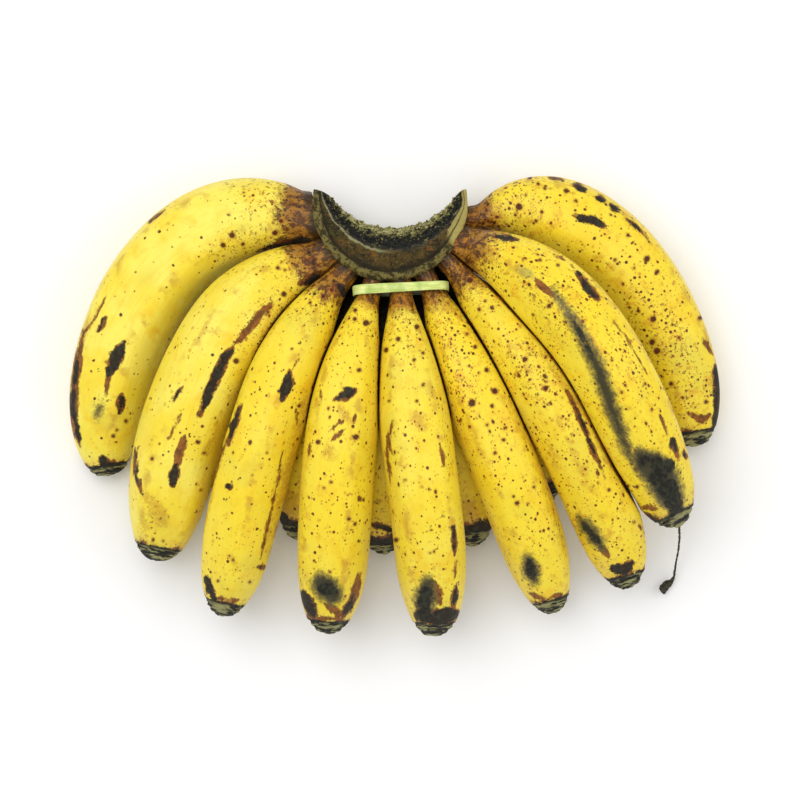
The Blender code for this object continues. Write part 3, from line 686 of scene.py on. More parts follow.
class Shader:
    """Short calls for wiring a material's nodes."""

    def __init__(self, name):
        self.material = bpy.data.materials.new(name)
        self.material.use_nodes = True
        self.tree = self.material.node_tree
        self.surface = self.tree.nodes["Principled BSDF"]

    def node(self, kind, **settings):
        """A node with settings of its own."""
        made = self.tree.nodes.new(kind)
        for key, value in settings.items():
            setattr(made, key, value)
        return made

    def put(self, socket, value):
        """A link or a plain value into a socket."""
        if isinstance(value, bpy.types.NodeSocket):
            self.tree.links.new(value, socket)
        elif isinstance(value, tuple) and len(value) == 3 and socket.type == "RGBA":
            socket.default_value = (*value, 1.0)
        else:
            socket.default_value = value

    def math(self, operation, a, b, clamp=False):
        """Arithmetic on two values."""
        made = self.node("ShaderNodeMath", operation=operation, use_clamp=clamp)
        self.put(made.inputs[0], a)
        self.put(made.inputs[1], b)
        return made.outputs[0]

    def times(self, a, b, clamp=False):
        """The product of two values."""
        return self.math("MULTIPLY", a, b, clamp)

    def plus(self, a, b):
        """The sum of two values."""
        return self.math("ADD", a, b)

    def minus(self, a, b):
        """The difference of two values."""
        return self.math("SUBTRACT", a, b)

    def larger(self, a, b):
        """The larger of two values."""
        return self.math("MAXIMUM", a, b)

    def step(self, value, low, high):
        """A soft step from 0 at low to 1 at high."""
        made = self.node("ShaderNodeMapRange", interpolation_type="SMOOTHSTEP")
        self.put(made.inputs["Value"], value)
        self.put(made.inputs["From Min"], low)
        self.put(made.inputs["From Max"], high)
        return made.outputs["Result"]

    def mix(self, share, a, b):
        """A colour between two."""
        made = self.node("ShaderNodeMix", data_type="RGBA")
        self.put(made.inputs["Factor"], share)
        self.put(made.inputs["A"], a)
        self.put(made.inputs["B"], b)
        return made.outputs["Result"]

    def cover(self, under, over, mask, strength):
        """A colour laid over another one where a mask is, as strongly as given."""
        return self.mix(self.times(mask, strength), under, over)

    def attribute(self, name, vector=False):
        """A number or vector stored on the mesh."""
        made = self.node("ShaderNodeAttribute", attribute_name=name)
        return made.outputs["Vector" if vector else "Fac"]

    def stretch(self, vector, x, y, z):
        """A vector scaled along each axis."""
        made = self.node("ShaderNodeMapping")
        self.put(made.inputs["Vector"], vector)
        made.inputs["Scale"].default_value = (x, y, z)
        return made.outputs["Vector"]

    def noise(self, vector, scale, detail=3.0, roughness=0.55):
        """Noise round 0.5."""
        made = self.node("ShaderNodeTexNoise")
        self.put(made.inputs["Vector"], vector)
        self.put(made.inputs["Scale"], scale)
        self.put(made.inputs["Detail"], detail)
        self.put(made.inputs["Roughness"], roughness)
        return made.outputs["Fac"]

    def patches(self, vector, low, high, *noise):
        """Patches where noise is high, with soft edges."""
        return self.step(self.noise(vector, *noise), low, high)

    def cells(self, vector, scale):
        """Distance to the nearest of scattered points, and that point's own random number."""
        made = self.node("ShaderNodeTexVoronoi", feature="F1")
        self.put(made.inputs["Vector"], vector)
        self.put(made.inputs["Scale"], scale)
        split = self.node("ShaderNodeSeparateColor")
        self.put(split.inputs["Color"], made.outputs["Color"])
        return made.outputs["Distance"], split.outputs["Red"], split.outputs["Green"]

    def bump(self, height, distance):
        """The surface's direction, bent by a height times a distance in metres."""
        made = self.node("ShaderNodeBump")
        self.put(made.inputs["Strength"], 1.0)
        self.put(made.inputs["Distance"], distance)
        self.put(made.inputs["Height"], height)
        return made.outputs["Normal"]

    def finished(self, colour, roughness, specular=0.5, normal=None):
        """The material, once its surface has been given all it needs."""
        self.put(self.surface.inputs["Base Color"], colour)
        self.put(self.surface.inputs["Roughness"], roughness)
        self.put(self.surface.inputs["Specular IOR Level"], specular)
        if normal is not None:
            self.put(self.surface.inputs["Normal"], normal)
        return self.material


def srgb(red, green, blue):
    """A screen colour from 0 to 255 as linear light."""
    return tuple(((c / 255.0 + 0.055) / 1.055) ** 2.4 if c > 10 else c / 255.0 / 12.92
                 for c in (red, green, blue))


# Colours of the peel
YELLOW = srgb(238, 210, 37)
YELLOW_PALE = srgb(241, 226, 90)
YELLOW_DEEP = srgb(232, 186, 26)
YELLOW_GREEN = srgb(206, 196, 66)
# Real browning mixed with painted shade, on the sides that face a neighbour
SIDE_BROWN_AND_SHADE = srgb(194, 112, 22)
# Painted shade in the creases where bananas nearly touch
CREVICE_SHADE_COLOUR = srgb(34, 18, 8)
TAN_COLOUR = srgb(176, 118, 32)
BROWN_COLOUR = srgb(92, 42, 16)
BROWN_LIGHT = srgb(138, 74, 24)
SPOT_COLOUR = srgb(66, 26, 12)
SPOT_HALO = srgb(150, 78, 20)
# Black of the bruises, also used for the black marks that are painted shade
BLACK_COLOUR = srgb(20, 18, 12)
BLACK_GREEN = srgb(46, 48, 32)
GREY_COLOUR = srgb(142, 138, 74)
SOOT_COLOUR = srgb(104, 92, 44)
SOOT_DARK = srgb(44, 42, 28)
NECK_COLOUR = srgb(150, 98, 30)
NECK_BLOTCH = srgb(68, 38, 16)
NECK_DOT = srgb(38, 22, 12)
# Painted shade where the necks join the crown under its lip
ROOT_SHADE_COLOUR = srgb(50, 36, 18)
STUB_DARK = srgb(26, 25, 16)
STUB_LIGHT = srgb(150, 146, 96)
FRECKLE_COLOUR = srgb(104, 40, 10)
FRECKLE_DARK = srgb(48, 24, 12)
FRECKLE_MIDDLE = srgb(164, 90, 20)
FRECKLE_PALE = srgb(196, 136, 28)
RUST_COLOUR = srgb(204, 132, 28)

# Colours of the crown, the strap and the thread
WALL_DARK = srgb(34, 26, 12)
WALL_LIGHT = srgb(96, 72, 30)
LIP_DARK = srgb(62, 54, 24)
LIP_LIGHT = srgb(130, 118, 62)
FACE_DARK = srgb(54, 46, 20)
FACE_LIGHT = srgb(92, 72, 30)
FACE_ORANGE = srgb(140, 88, 30)
FACE_GREEN = srgb(92, 98, 36)
FACE_VEIN = srgb(34, 30, 14)
FACE_GRAIN = srgb(146, 132, 72)
END_PALE = srgb(194, 178, 98)
GROOVE_COLOUR = srgb(22, 18, 8)
CUT_DARK = srgb(14, 16, 9)
CUT_LIGHT = srgb(146, 138, 74)
CUT_BRIGHT = srgb(214, 208, 146)
FRAYED_COLOUR = srgb(172, 170, 122)
UNDERSIDE_COLOUR = srgb(40, 32, 15)
STRAP_GREEN = srgb(186, 204, 96)
STRAP_PALE = srgb(226, 234, 150)
STRAP_DEEP = srgb(144, 170, 66)
# Painted shade on the strap's lower run, under the necks
STRAP_UNDER_SHADE = srgb(58, 56, 26)
THREAD_DARK = srgb(34, 30, 22)
THREAD_LIGHT = srgb(92, 90, 58)


def freckle_mask(s, peel, scale, least, most, density):
    """Scattered dots and the halos round them: each cell's own random numbers say whether it
    has one, and how large."""
    warp = s.noise(peel, scale * 2.5, 2.0)
    away, chance, size = s.cells(peel, scale)
    away = s.plus(away, s.times(s.minus(warp, 0.5), 0.22))
    has = s.step(chance, s.minus(1.0, density), s.minus(1.04, density))
    radius = s.plus(least, s.times(s.math("POWER", size, 2.5), most - least))
    inside = s.minus(radius, away)
    dot = s.times(s.step(inside, -0.035, 0.035), has)
    return dot, s.times(s.step(inside, -0.20, 0.0), has)


def peel_ground(s, peel, streak):
    """The peel's own colour: yellow, paler or deeper in broad mottles and along its fibres."""
    broad = s.patches(peel, 0.35, 0.68, 0.05, 3.0)
    pale = s.times(s.attribute("pale"), s.plus(broad, 0.35), clamp=True)
    colour = s.mix(pale, YELLOW, YELLOW_PALE)
    deep = s.times(s.patches(peel, 0.50, 0.78, 0.11, 4.0), 0.7)
    colour = s.mix(deep, colour, YELLOW_DEEP)
    green = s.times(s.patches(peel, 0.56, 0.72, 0.04, 2.0), 0.35)
    colour = s.mix(green, colour, YELLOW_GREEN)
    fibres = s.times(s.step(streak, 0.45, 0.75), 0.28)
    colour = s.mix(fibres, colour, YELLOW_DEEP)
    ridge = s.times(s.attribute("ridge"), s.patches(peel, 0.48, 0.66, 0.16, 4.0))
    return s.cover(colour, TAN_COLOUR, ridge, 0.55)


def add_stains_and_shade(s, colour, spread, patchy):
    """Soft stains and painted shade: brown sides where bananas touch, part real browning and part painted
    shade; painted shade in the creases between them; grey and tan stains.
    """
    # Painted shade mixed with real browning: the sides turn orange-brown the closer a neighbour lies
    side = s.plus(s.attribute("side"), s.times(spread, 0.05))
    colour = s.cover(colour, SIDE_BROWN_AND_SHADE, s.step(side, 0.22, 0.85), 0.72)
    # Painted shade: a near-black line in the creases where bananas nearly touch
    crevice = s.plus(s.attribute("crevice"), s.times(spread, 0.03))
    colour = s.cover(colour, CREVICE_SHADE_COLOUR, s.step(crevice, 0.48, 0.78), 0.92)
    grey = s.step(s.plus(s.attribute("grey"), spread), -1.2, 4.0)
    colour = s.cover(colour, GREY_COLOUR, grey, 0.6)
    tan = s.times(s.step(s.plus(s.attribute("tan"), spread), -1.2, 2.4), patchy)
    return s.cover(colour, TAN_COLOUR, tan, 0.62)


def add_neck(s, colour, peel, spread):
    """Orange-brown neck with dark blotches and dots, and painted shade that makes it nearly black where it
    joins the crown under its lip.
    """
    neck = s.plus(s.attribute("neck"), s.times(spread, 0.10))
    colour = s.cover(colour, NECK_COLOUR, s.step(neck, 0.12, 0.80), 0.92)
    patches = s.noise(s.stretch(peel, 1.0, 1.0, 0.75), 0.34, 5.0, 0.7)
    blotch = s.plus(patches, s.times(s.attribute("neck"), 0.08))
    blotch = s.times(s.step(blotch, 0.53, 0.61), s.step(neck, 0.15, 0.5))
    colour = s.cover(colour, NECK_BLOTCH, blotch, 0.88)
    dots, _ = freckle_mask(s, peel, 0.42, 0.16, 0.42, s.times(neck, 0.7))
    colour = s.cover(colour, NECK_DOT, dots, 0.85)
    # Painted shade: the neck's first few mm, under the crown's lip, turn nearly black
    root = s.plus(s.attribute("root"), s.times(spread, 0.10))
    return s.cover(colour, ROOT_SHADE_COLOUR, s.step(root, 0.40, 0.95), 0.9)


def add_freckles(s, colour, peel):
    """Freckles in four sizes, and rusty patches and red-brown blotches where they crowd."""
    dense = s.step(s.attribute("dense"), -3.0, 3.0)
    crowd = s.plus(s.attribute("freckled"), s.times(dense, 0.55))
    crowd = s.times(crowd, s.plus(0.35, s.patches(peel, 0.30, 0.66, 0.07, 2.0)))
    rust = s.times(s.patches(peel, 0.52, 0.70, 0.28, 5.0, 0.65), crowd)
    colour = s.mix(s.times(rust, 0.42, clamp=True), colour, RUST_COLOUR)
    pale_dots, _ = freckle_mask(s, peel, 0.40, 0.10, 0.34, s.times(crowd, 0.62))
    colour = s.cover(colour, FRECKLE_PALE, pale_dots, 0.55)
    tiny, _ = freckle_mask(s, peel, 0.86, 0.16, 0.38, s.times(crowd, 0.42))
    colour = s.cover(colour, FRECKLE_MIDDLE, tiny, 0.8)
    blotch = s.patches(peel, 0.56, 0.64, 0.62, 4.0, 0.65)
    colour = s.cover(colour, BROWN_COLOUR, s.times(blotch, dense), 0.75)
    dots, halo = freckle_mask(s, peel, 0.50, 0.12, 0.36, s.times(crowd, 0.60))
    spots, wide_halo = freckle_mask(s, s.stretch(peel, 1.0, 1.0, 0.8), 0.25, 0.07, 0.20,
                                    s.times(crowd, 0.50))
    halo = s.larger(halo, wide_halo)
    colour = s.cover(colour, FRECKLE_MIDDLE, halo, 0.38)
    dots = s.larger(dots, spots)
    tone = s.mix(s.patches(peel, 0.42, 0.58, 0.35, 2.0), FRECKLE_COLOUR, FRECKLE_DARK)
    return s.cover(colour, tone, dots, 0.92), dots


def add_bruises(s, colour, peel, ragged, spread):
    """Brown bruises, small dark spots, soft sooty smudges, and black bruises with torn edges; some black
    marks are painted shade in creases near the crown and on the back row's hidden necks.
    """
    red_edge = s.larger(s.attribute("brown"), s.plus(s.attribute("black"), 0.45))
    uneven = s.times(s.noise(s.stretch(peel, 1.0, 1.0, 0.35), 0.35, 4.0, 0.6), 3.4)
    brown = s.step(s.plus(red_edge, s.minus(s.plus(ragged, uneven), 1.7)), -0.3, 0.6)
    tone = s.mix(s.patches(peel, 0.42, 0.58, 0.5, 4.0, 0.65), BROWN_LIGHT, BROWN_COLOUR)
    colour = s.cover(colour, tone, brown, 0.95)
    spotted = s.plus(s.attribute("spot"), s.times(ragged, 0.55))
    colour = s.cover(colour, SPOT_HALO, s.step(spotted, -1.0, 0.1), 0.6)
    spot = s.step(spotted, -0.3, 0.25)
    colour = s.cover(colour, SPOT_COLOUR, spot, 0.92)
    sooty = s.plus(s.attribute("soot"), s.times(spread, 0.6))
    colour = s.cover(colour, SOOT_COLOUR, s.step(sooty, -1.2, 1.8), 0.88)
    colour = s.cover(colour, SOOT_DARK, s.step(sooty, 0.9, 3.6), 0.90)
    torn = s.times(s.minus(s.noise(peel, 0.16, 4.0, 0.6), 0.5), 6.0)
    torn = s.plus(torn, s.times(ragged, 1.3))
    black = s.step(s.plus(s.attribute("black"), torn), -0.35, 0.6)
    char = s.mix(s.patches(peel, 0.4, 0.65, 0.5, 3.0), BLACK_COLOUR, BLACK_GREEN)
    return s.cover(colour, char, black, 0.96), brown, s.larger(black, spot)


def peel_material():
    """Ripe peel: mottled yellow, brown necks and bruises, freckles, dark blossom ends, and painted shade in
    the creases, under the crown's lip and on the back row.
    """
    s = Shader("banana_peel_fine")
    peel = s.attribute("peel", vector=True)
    fine = s.minus(s.noise(peel, 1.1, 4.0, 0.6), 0.5)
    middle = s.minus(s.noise(peel, 0.33, 3.0), 0.5)
    streak = s.noise(s.stretch(peel, 1.0, 1.0, 0.09), 0.9, 3.0)
    ragged = s.plus(s.times(middle, 1.8), s.times(fine, 1.2))
    spread = s.plus(s.times(middle, 7.0), s.times(fine, 7.0))
    patchy = s.plus(0.6, s.times(s.patches(peel, 0.38, 0.62, 0.5, 4.0, 0.65), 0.4))
    colour = add_stains_and_shade(s, peel_ground(s, peel, streak), spread, patchy)
    colour = add_neck(s, colour, peel, spread)
    colour, dots = add_freckles(s, colour, peel)
    colour, brown, black = add_bruises(s, colour, peel, ragged, spread)
    stub = s.step(s.plus(s.attribute("stub"), s.times(ragged, 1.6)), -0.3, 0.5)
    rings = s.noise(s.stretch(s.attribute("ringed", vector=True), 0.16, 0.16, 1.0), 0.75, 4.0, 0.65)
    light = s.times(s.step(rings, 0.46, 0.58), s.step(s.attribute("stub"), 0.6, 2.4))
    colour = s.mix(stub, colour, s.mix(light, STUB_DARK, STUB_LIGHT))

    dark = s.larger(s.larger(black, stub), s.times(brown, 0.7))
    height = s.plus(s.times(streak, 0.5), s.times(fine, 0.35))
    height = s.minus(height, s.times(s.larger(dark, dots), 0.6))
    height = s.plus(height, s.times(s.times(stub, rings), 2.2))
    roughness = s.plus(s.plus(0.42, s.times(dark, 0.30)), s.times(fine, 0.12))
    return s.finished(colour, roughness, 0.28, s.bump(height, 0.00022))


def make_bananas():
    """Every banana as a fine skin over its solid."""
    material = peel_material()
    fingers = FRONT_ROW + BACK_ROW
    fine = np.linspace(0.0, 1.0, 80)
    spines = {finger.name: Spine(finger, fine) for finger in fingers}
    for number, finger in enumerate(fingers):
        own = spines[finger.name]
        others = [spine for spine in spines.values() if spine is not own and near(spine, own)]
        skin = Skin(finger, 100 * number, others)
        mesh = new_mesh(finger.name + "_skin", skin.rings())
        store_skin(mesh, skin)
        piece = link(finger.name + "_skin", mesh, material)
        dress(piece, "banana_peel", finger.name)


def near(one, other):
    """Whether two bananas come close enough to touch."""
    gaps = np.linalg.norm(one.centre[:, None] - other.centre[None], axis=2)
    return bool((gaps - one.half[:, None] - other.half[None]).min() < NEIGHBOUR_GAP)


def store_skin(mesh, skin):
    """Give the mesh what the peel's shader reads, the cap's points like the last ring's."""
    extra = SKIN_SIDES * len(CAP_RINGS)
    fields = mark_fields(skin)
    ripe = RIPENESS.get(skin.finger.name, Ripeness())
    apart = np.maximum(skin.clearance, 0.0)
    belly = smooth(0.04, 0.16, skin.share) * (1.0 - smooth(0.86, 0.97, skin.share))
    # Painted shade mixed with real browning, stronger the closer a neighbour lies
    fields["side"] = np.exp(-apart / 2.2) * ripe.side_brown_and_shade * belly
    # Painted shade in the creases, the darker the closer a neighbour lies
    fields["crevice"] = np.exp(-apart / 1.5) * (1.0 - smooth(0.88, 0.96, skin.share))
    fields["freckled"] = np.full(len(skin.points), ripe.freckled)
    fields["pale"] = np.full(len(skin.points), ripe.pale)
    fields["neck"] = 1.0 - smooth(0.3 * ripe.brown_neck, 1.7 * ripe.brown_neck, skin.along)
    # Painted shade on the neck's first mm, under the crown's lip
    fields["root"] = 1.0 - smooth(0.5, 6.5, skin.along)
    fields["stub"] = skin.stub
    fields["ridge"] = ridged(skin.turn) ** 14 * belly
    for name, values in fields.items():
        whole = np.concatenate([values, np.full(extra + 2, values[-SKIN_SIDES:].max())])
        whole[-2] = values[0]
        add_attribute(mesh, name, whole)
    cap = skin.peel[-SKIN_SIDES:]
    peel = [skin.peel]
    for _, share in CAP_RINGS:
        peel.append(cap * (share, share, 1.0) + (0.0, 0.0, (1.0 - share) * CAP_LENGTH))
    peel.append(np.array([skin.peel[0], (0.0, 0.0, skin.length + CAP_LENGTH)]))
    peel = np.concatenate(peel)
    add_attribute(mesh, "peel", peel + np.array([0.0, 0.0, PATTERN_SHIFT * skin.finger.root_angle]))
    deep = np.concatenate([skin.stub, np.full(extra + 2, skin.stub.max())])
    add_attribute(mesh, "ringed", np.column_stack([peel[:, :2], deep + skin.finger.root_angle]))


def reach_to_circle(angle, centre, radius):
    """Distance from the stalk's axis to a circle, along one direction."""
    way = outward(angle)[:2]
    along = float(np.dot(way, centre))
    return along + math.sqrt(along ** 2 + radius ** 2 - float(np.dot(centre, centre)))


def wall_radius(angle, height):
    """The crown's outer wall, swollen where each banana leaves it."""
    swell = 0.0
    for finger in FRONT_ROW + BACK_ROW:
        across = math.radians(angle - finger.root_angle) * CROWN_WALL_RADIUS
        rise = height - finger.root_height
        swell = max(swell, math.exp(-(across ** 2 + rise ** 2) / NECK_SWELL_SPREAD ** 2))
    return CROWN_WALL_RADIUS + NECK_SWELL * swell


def crown_section(angle):
    """The crown's outline at one angle: distance from the axis, height and zone.

    Zones run 0 wall, 1 lip, 2 face, 3 cut and 4 underside."""
    out_of_middle = abs(angle) / CROWN_END_ANGLE
    top = CROWN_TOP - CROWN_TOP_DROP * out_of_middle ** 2
    base = CROWN_BASE_RISE * max(0.0, (out_of_middle - 0.45) / 0.55) ** 1.5
    rim = CROWN_WALL_RADIUS
    cut_edge = min(reach_to_circle(angle, CUT_EDGE_CENTRE, CUT_EDGE_RADIUS), rim - 1.6)
    cut_foot = min(reach_to_circle(angle, CUT_FOOT_CENTRE, CUT_FOOT_RADIUS), cut_edge - 1.2)
    foot = max(CUT_FOOT_HEIGHT, base + 4.0)
    thick = rim - cut_foot
    lip = min(LIP_WIDTH, 0.6 * (rim - cut_edge))
    outline = [(rim - 0.35 * thick, base, 4), (rim - 0.12 * thick, base + 2.0, 0)]
    for share in (0.12, 0.28, 0.44, 0.60, 0.76, 0.90):
        height = base + share * (top - base)
        outline.append((wall_radius(angle, height), height, 0))
    outline += [(rim + 0.5, top, 1), (rim + 0.2 - 0.3 * lip, top + LIP_RAISE * 0.8, 1)]
    outline += [(rim - 0.8 * lip, top + LIP_RAISE * 0.6, 1), (rim - lip, top - 0.4, 1.6)]
    outline += [((rim - lip + cut_edge) / 2.0, top - 1.0, 2), (cut_edge, top - 1.6, 2.3)]
    for share in (0.25, 0.5, 0.75, 1.0):
        reach = cut_edge + share ** 0.8 * (cut_foot - cut_edge)
        outline.append((reach, top - 1.6 + share * (foot - top + 1.6), 3))
    outline.append((cut_foot + 0.1 * thick, 0.4 * foot + 0.6 * base, 3.4))
    outline.append((cut_foot + 0.35 * thick, base, 4))
    return np.array(outline, dtype=float)


def round_loop(corners, count):
    """A closed smooth loop through corners, with evenly spread points."""
    closed = np.vstack([corners, corners[:1]])
    run = lengths_along(closed[:, :2])
    loop = blend(np.linspace(0.0, run[-1], count, endpoint=False), run, closed)
    for _ in range(2):
        loop[:, :2] = (np.roll(loop, 1, axis=0) + 2.0 * loop + np.roll(loop, -1, axis=0))[:, :2] / 4.0
    return loop


def crown_rings():
    """The crown's smooth rings and the zone of each point."""
    rings, zones = [], []
    for angle in np.linspace(-CROWN_END_ANGLE, CROWN_END_ANGLE, CROWN_STATIONS):
        loop = round_loop(crown_section(angle), CROWN_SIDES)
        ring = np.array([*CROWN_CENTRE, 0.0]) + loop[:, :1] * outward(angle)
        ring[:, 2] = loop[:, 1]
        rings.append(ring)
        zones.append(loop[:, 2])
    return np.array(rings), np.array(zones)


def roughen_crown(rings, zones):
    """Push the crown's points along their normals: torn fibres on the cut, wrinkles elsewhere."""
    around = np.roll(rings, -1, axis=1) - np.roll(rings, 1, axis=1)
    along = np.gradient(rings, axis=0)
    normal = unit(np.cross(around, along))
    inside = rings.mean(axis=1, keepdims=True)
    normal *= np.sign((normal * (rings - inside)).sum(axis=2, keepdims=True).mean())
    flat = rings.reshape(-1, 3)
    fibre = np.abs(wave_noise(flat * (1.0, 1.0, 0.3), 2.4, 21, 40)).reshape(zones.shape)
    grain = wave_noise(flat, 1.5, 22, 40).reshape(zones.shape)
    lumps = wave_noise(flat, 9.0, 23, 30).reshape(zones.shape)
    cut = smooth(2.5, 2.9, zones) * (1.0 - smooth(3.4, 3.9, zones))
    face = smooth(1.7, 2.0, zones) * (1.0 - smooth(2.3, 2.7, zones))
    wall = 1.0 - smooth(0.3, 0.9, zones)
    lip = np.exp(-((zones - 1.0) / 0.45) ** 2)
    torn = wave_noise(flat, 5.0, 24, 30).reshape(zones.shape)
    push = cut * (0.30 * fibre + 0.26 * grain + 0.22 * torn - 0.45)
    push += face * (0.22 * lumps + 0.10 * grain - 0.15)
    push += wall * (0.16 * lumps + 0.10 * grain - 0.25) + lip * (0.12 * lumps + 0.05 * grain - 0.1)
    ends = np.minimum(np.arange(len(rings)), np.arange(len(rings))[::-1])
    push *= smooth(0.0, 6.0, ends.astype(float))[:, None]
    return rings + normal * push[..., None]


def crown_face(s, place, broad, spots, grain):
    """Colour of the crown's bare face: olive-brown, with green and orange patches and dark veins."""
    face = s.mix(s.step(broad, 0.40, 0.62), FACE_DARK, FACE_LIGHT)
    orange = s.patches(place, 0.58, 0.68, 0.17, 3.0)
    face = s.cover(face, FACE_ORANGE, orange, 0.75)
    green = s.patches(s.stretch(place, 1.0, 1.0, 0.5), 0.56, 0.68, 0.14, 3.0)
    face = s.cover(face, FACE_GREEN, green, 0.7)
    face = s.cover(face, FACE_VEIN, s.step(spots, 0.51, 0.60), 0.8)
    return s.cover(face, FACE_GRAIN, s.step(grain, 0.56, 0.66), 0.6)


def crown_material():
    """Old green-brown stalk: olive lip, mottled face, black granular cut, brown wall."""
    s = Shader("crown_fine")
    place = s.attribute("place", vector=True)
    zone = s.attribute("zone")
    broad = s.noise(place, 0.10, 4.0)
    spots = s.noise(place, 0.45, 4.0, 0.65)
    grain = s.noise(place, 1.3, 4.0, 0.7)
    granules = s.noise(s.stretch(place, 1.0, 1.0, 0.6), 0.46, 4.0, 0.75)
    shifted = s.plus(zone, s.times(s.minus(spots, 0.5), 0.30))
    wall = s.mix(s.step(spots, 0.43, 0.58), WALL_DARK, WALL_LIGHT)
    lip = s.mix(s.step(spots, 0.43, 0.57), LIP_DARK, LIP_LIGHT)
    colour = s.mix(s.step(shifted, 0.25, 0.75), wall, lip)
    colour = s.mix(s.step(shifted, 1.45, 1.75), colour, crown_face(s, place, broad, spots, grain))
    pale = s.plus(s.attribute("pale"), s.times(s.minus(grain, 0.5), 0.8))
    colour = s.cover(colour, END_PALE, s.step(pale, 0.25, 0.7), 0.9)
    groove = s.times(s.step(zone, 1.25, 1.6), s.minus(1.0, s.step(zone, 1.62, 1.95)))
    colour = s.cover(colour, GROOVE_COLOUR, groove, 0.8)
    bright = s.plus(s.attribute("bright"), s.times(s.minus(granules, 0.5), 5.5))
    cut = s.mix(s.step(bright, 0.35, 0.80), CUT_DARK, CUT_LIGHT)
    cut = s.mix(s.step(bright, 0.95, 1.35), cut, CUT_BRIGHT)
    colour = s.mix(s.step(shifted, 2.42, 2.6), colour, cut)
    rim = s.times(s.step(shifted, 2.26, 2.34), s.minus(1.0, s.step(shifted, 2.40, 2.48)))
    rim = s.times(rim, s.attribute("frayed"))
    colour = s.cover(colour, FRAYED_COLOUR, rim, 0.85)
    colour = s.mix(s.step(shifted, 3.5, 3.9), colour, UNDERSIDE_COLOUR)
    height = s.plus(grain, s.times(spots, 1.8))
    return s.finished(colour, 0.72, 0.25, s.bump(height, 0.0011))


def make_crown():
    """The crescent that all bananas grow from, with its torn cut face."""
    rings, zones = crown_rings()
    rings = roughen_crown(rings, zones)
    rings[..., 2] = np.maximum(rings[..., 2], 0.0)
    mesh = new_mesh("crown_skin", rings)
    flat = rings.reshape(-1, 3)
    whole_zone = np.concatenate([zones.ravel(), [3.0, 3.0]])
    places = np.concatenate([flat, flat[:1], flat[-1:]])
    add_attribute(mesh, "zone", whole_zone)
    add_attribute(mesh, "place", places)
    above = smooth(30.0, 38.0, places[:, 2]) * (1.0 - smooth(2.3, 2.5, whole_zone))
    right_end = smooth(20.0, 27.0, places[:, 0]) * smooth(64.0, 76.0, places[:, 1])
    add_attribute(mesh, "pale", right_end * above)
    add_attribute(mesh, "bright", 1.0 - smooth(17.0, 37.0, places[:, 2]))
    add_attribute(mesh, "frayed", 1.0 - smooth(-12.0, 2.0, places[:, 0]))
    piece = link("crown_skin", mesh, crown_material())
    dress(piece, "crown_fibre", "crown")


def band_path(count):
    """The loop that the tie band follows, in X and Z: a rectangle with round corners."""
    inner_x = BAND_INNER_WIDTH / 2.0 - BAND_CORNER_RADIUS
    inner_z = BAND_INNER_HEIGHT / 2.0 - BAND_CORNER_RADIUS
    corners, ways = [], []
    for quarter, (x, z) in enumerate(((1, 1), (-1, 1), (-1, -1), (1, -1))):
        for step in range(17):
            turn = math.pi / 2.0 * (quarter + step / 16.0)
            ways.append((math.cos(turn), math.sin(turn)))
            corners.append((x * inner_x + BAND_CORNER_RADIUS * math.cos(turn),
                            z * inner_z + BAND_CORNER_RADIUS * math.sin(turn)))
    corners = np.array(corners + corners[:1])
    ways = np.array(ways + ways[:1])
    run = lengths_along(corners)
    even = np.linspace(0.0, run[-1], count, endpoint=False)
    return blend(even, run, corners), unit(blend(even, run, ways)), even


def band_mesh():
    """The strap as a ring of flat sections with soft edges, fibre ridges and a slight buckle."""
    place, way, run = band_path(BAND_STEPS)
    turns = np.linspace(0.0, 2.0 * math.pi, 28, endpoint=False)
    breadth = np.sign(np.cos(turns)) * np.abs(np.cos(turns)) ** 0.35 * BAND_BREADTH / 2.0
    depth = (np.sign(np.sin(turns)) * np.abs(np.sin(turns)) ** 0.5 + 1.0) * BAND_THICKNESS / 2.0
    points = []
    for (x, z), (wx, wz), s in zip(place, way, run):
        ripple = 0.05 * np.sin(turns * 9.0) + 0.07 * math.sin(s / 5.3) + 0.05 * math.sin(s / 2.1)
        out = np.clip(depth + ripple * (depth > BAND_THICKNESS / 2.0), 0.0, BAND_THICKNESS)
        narrow = 1.0 - 0.10 * (0.5 + 0.5 * math.sin(s / 9.0 + 0.6))
        points.append(np.stack([x + wx * out, breadth * narrow, z + wz * out], axis=1))
    points = np.array(points)
    lean, turn = math.radians(BAND_LEAN), math.radians(BAND_TURN)
    set_at = np.array(Matrix.Rotation(turn, 3, "Z") @ Matrix.Rotation(lean, 3, "X"))
    points = points @ set_at.T + np.array(BAND_CENTRE) - (*HAND_MIDDLE, 0.0)
    return points, run


def make_band():
    """The pale green strap round three necks."""
    points, run = band_mesh()
    count, sides = points.shape[:2]
    i, j = np.arange(sides), (np.arange(sides) + 1) % sides
    faces = []
    for row in range(count):
        low, high = row * sides, (row + 1) % count * sides
        faces += np.stack([low + i, high + i, high + j, low + j], axis=1).tolist()
    mesh = bpy.data.meshes.new("tie_band_fine")
    mesh.from_pydata((points.reshape(-1, 3) * MM).tolist(), [], faces)
    grid = points - points.mean(axis=(0, 1))
    ring_middle = points.mean(axis=1, keepdims=True)
    first = np.cross(points[1, 0] - points[0, 0], points[0, 1] - points[0, 0])
    if float(first @ (points[0, 0] - ring_middle[0, 0])) < 0.0:
        mesh.flip_normals()
    mesh.shade_smooth()
    along, across = np.repeat(run, sides), np.tile(np.arange(sides) * 0.5, count)
    add_attribute(mesh, "strap", np.stack([along, across, grid[..., 2].ravel()], axis=1))
    piece = link("tie_band_fine", mesh, strap_material())
    dress(piece, "green_strap", "tie_band")


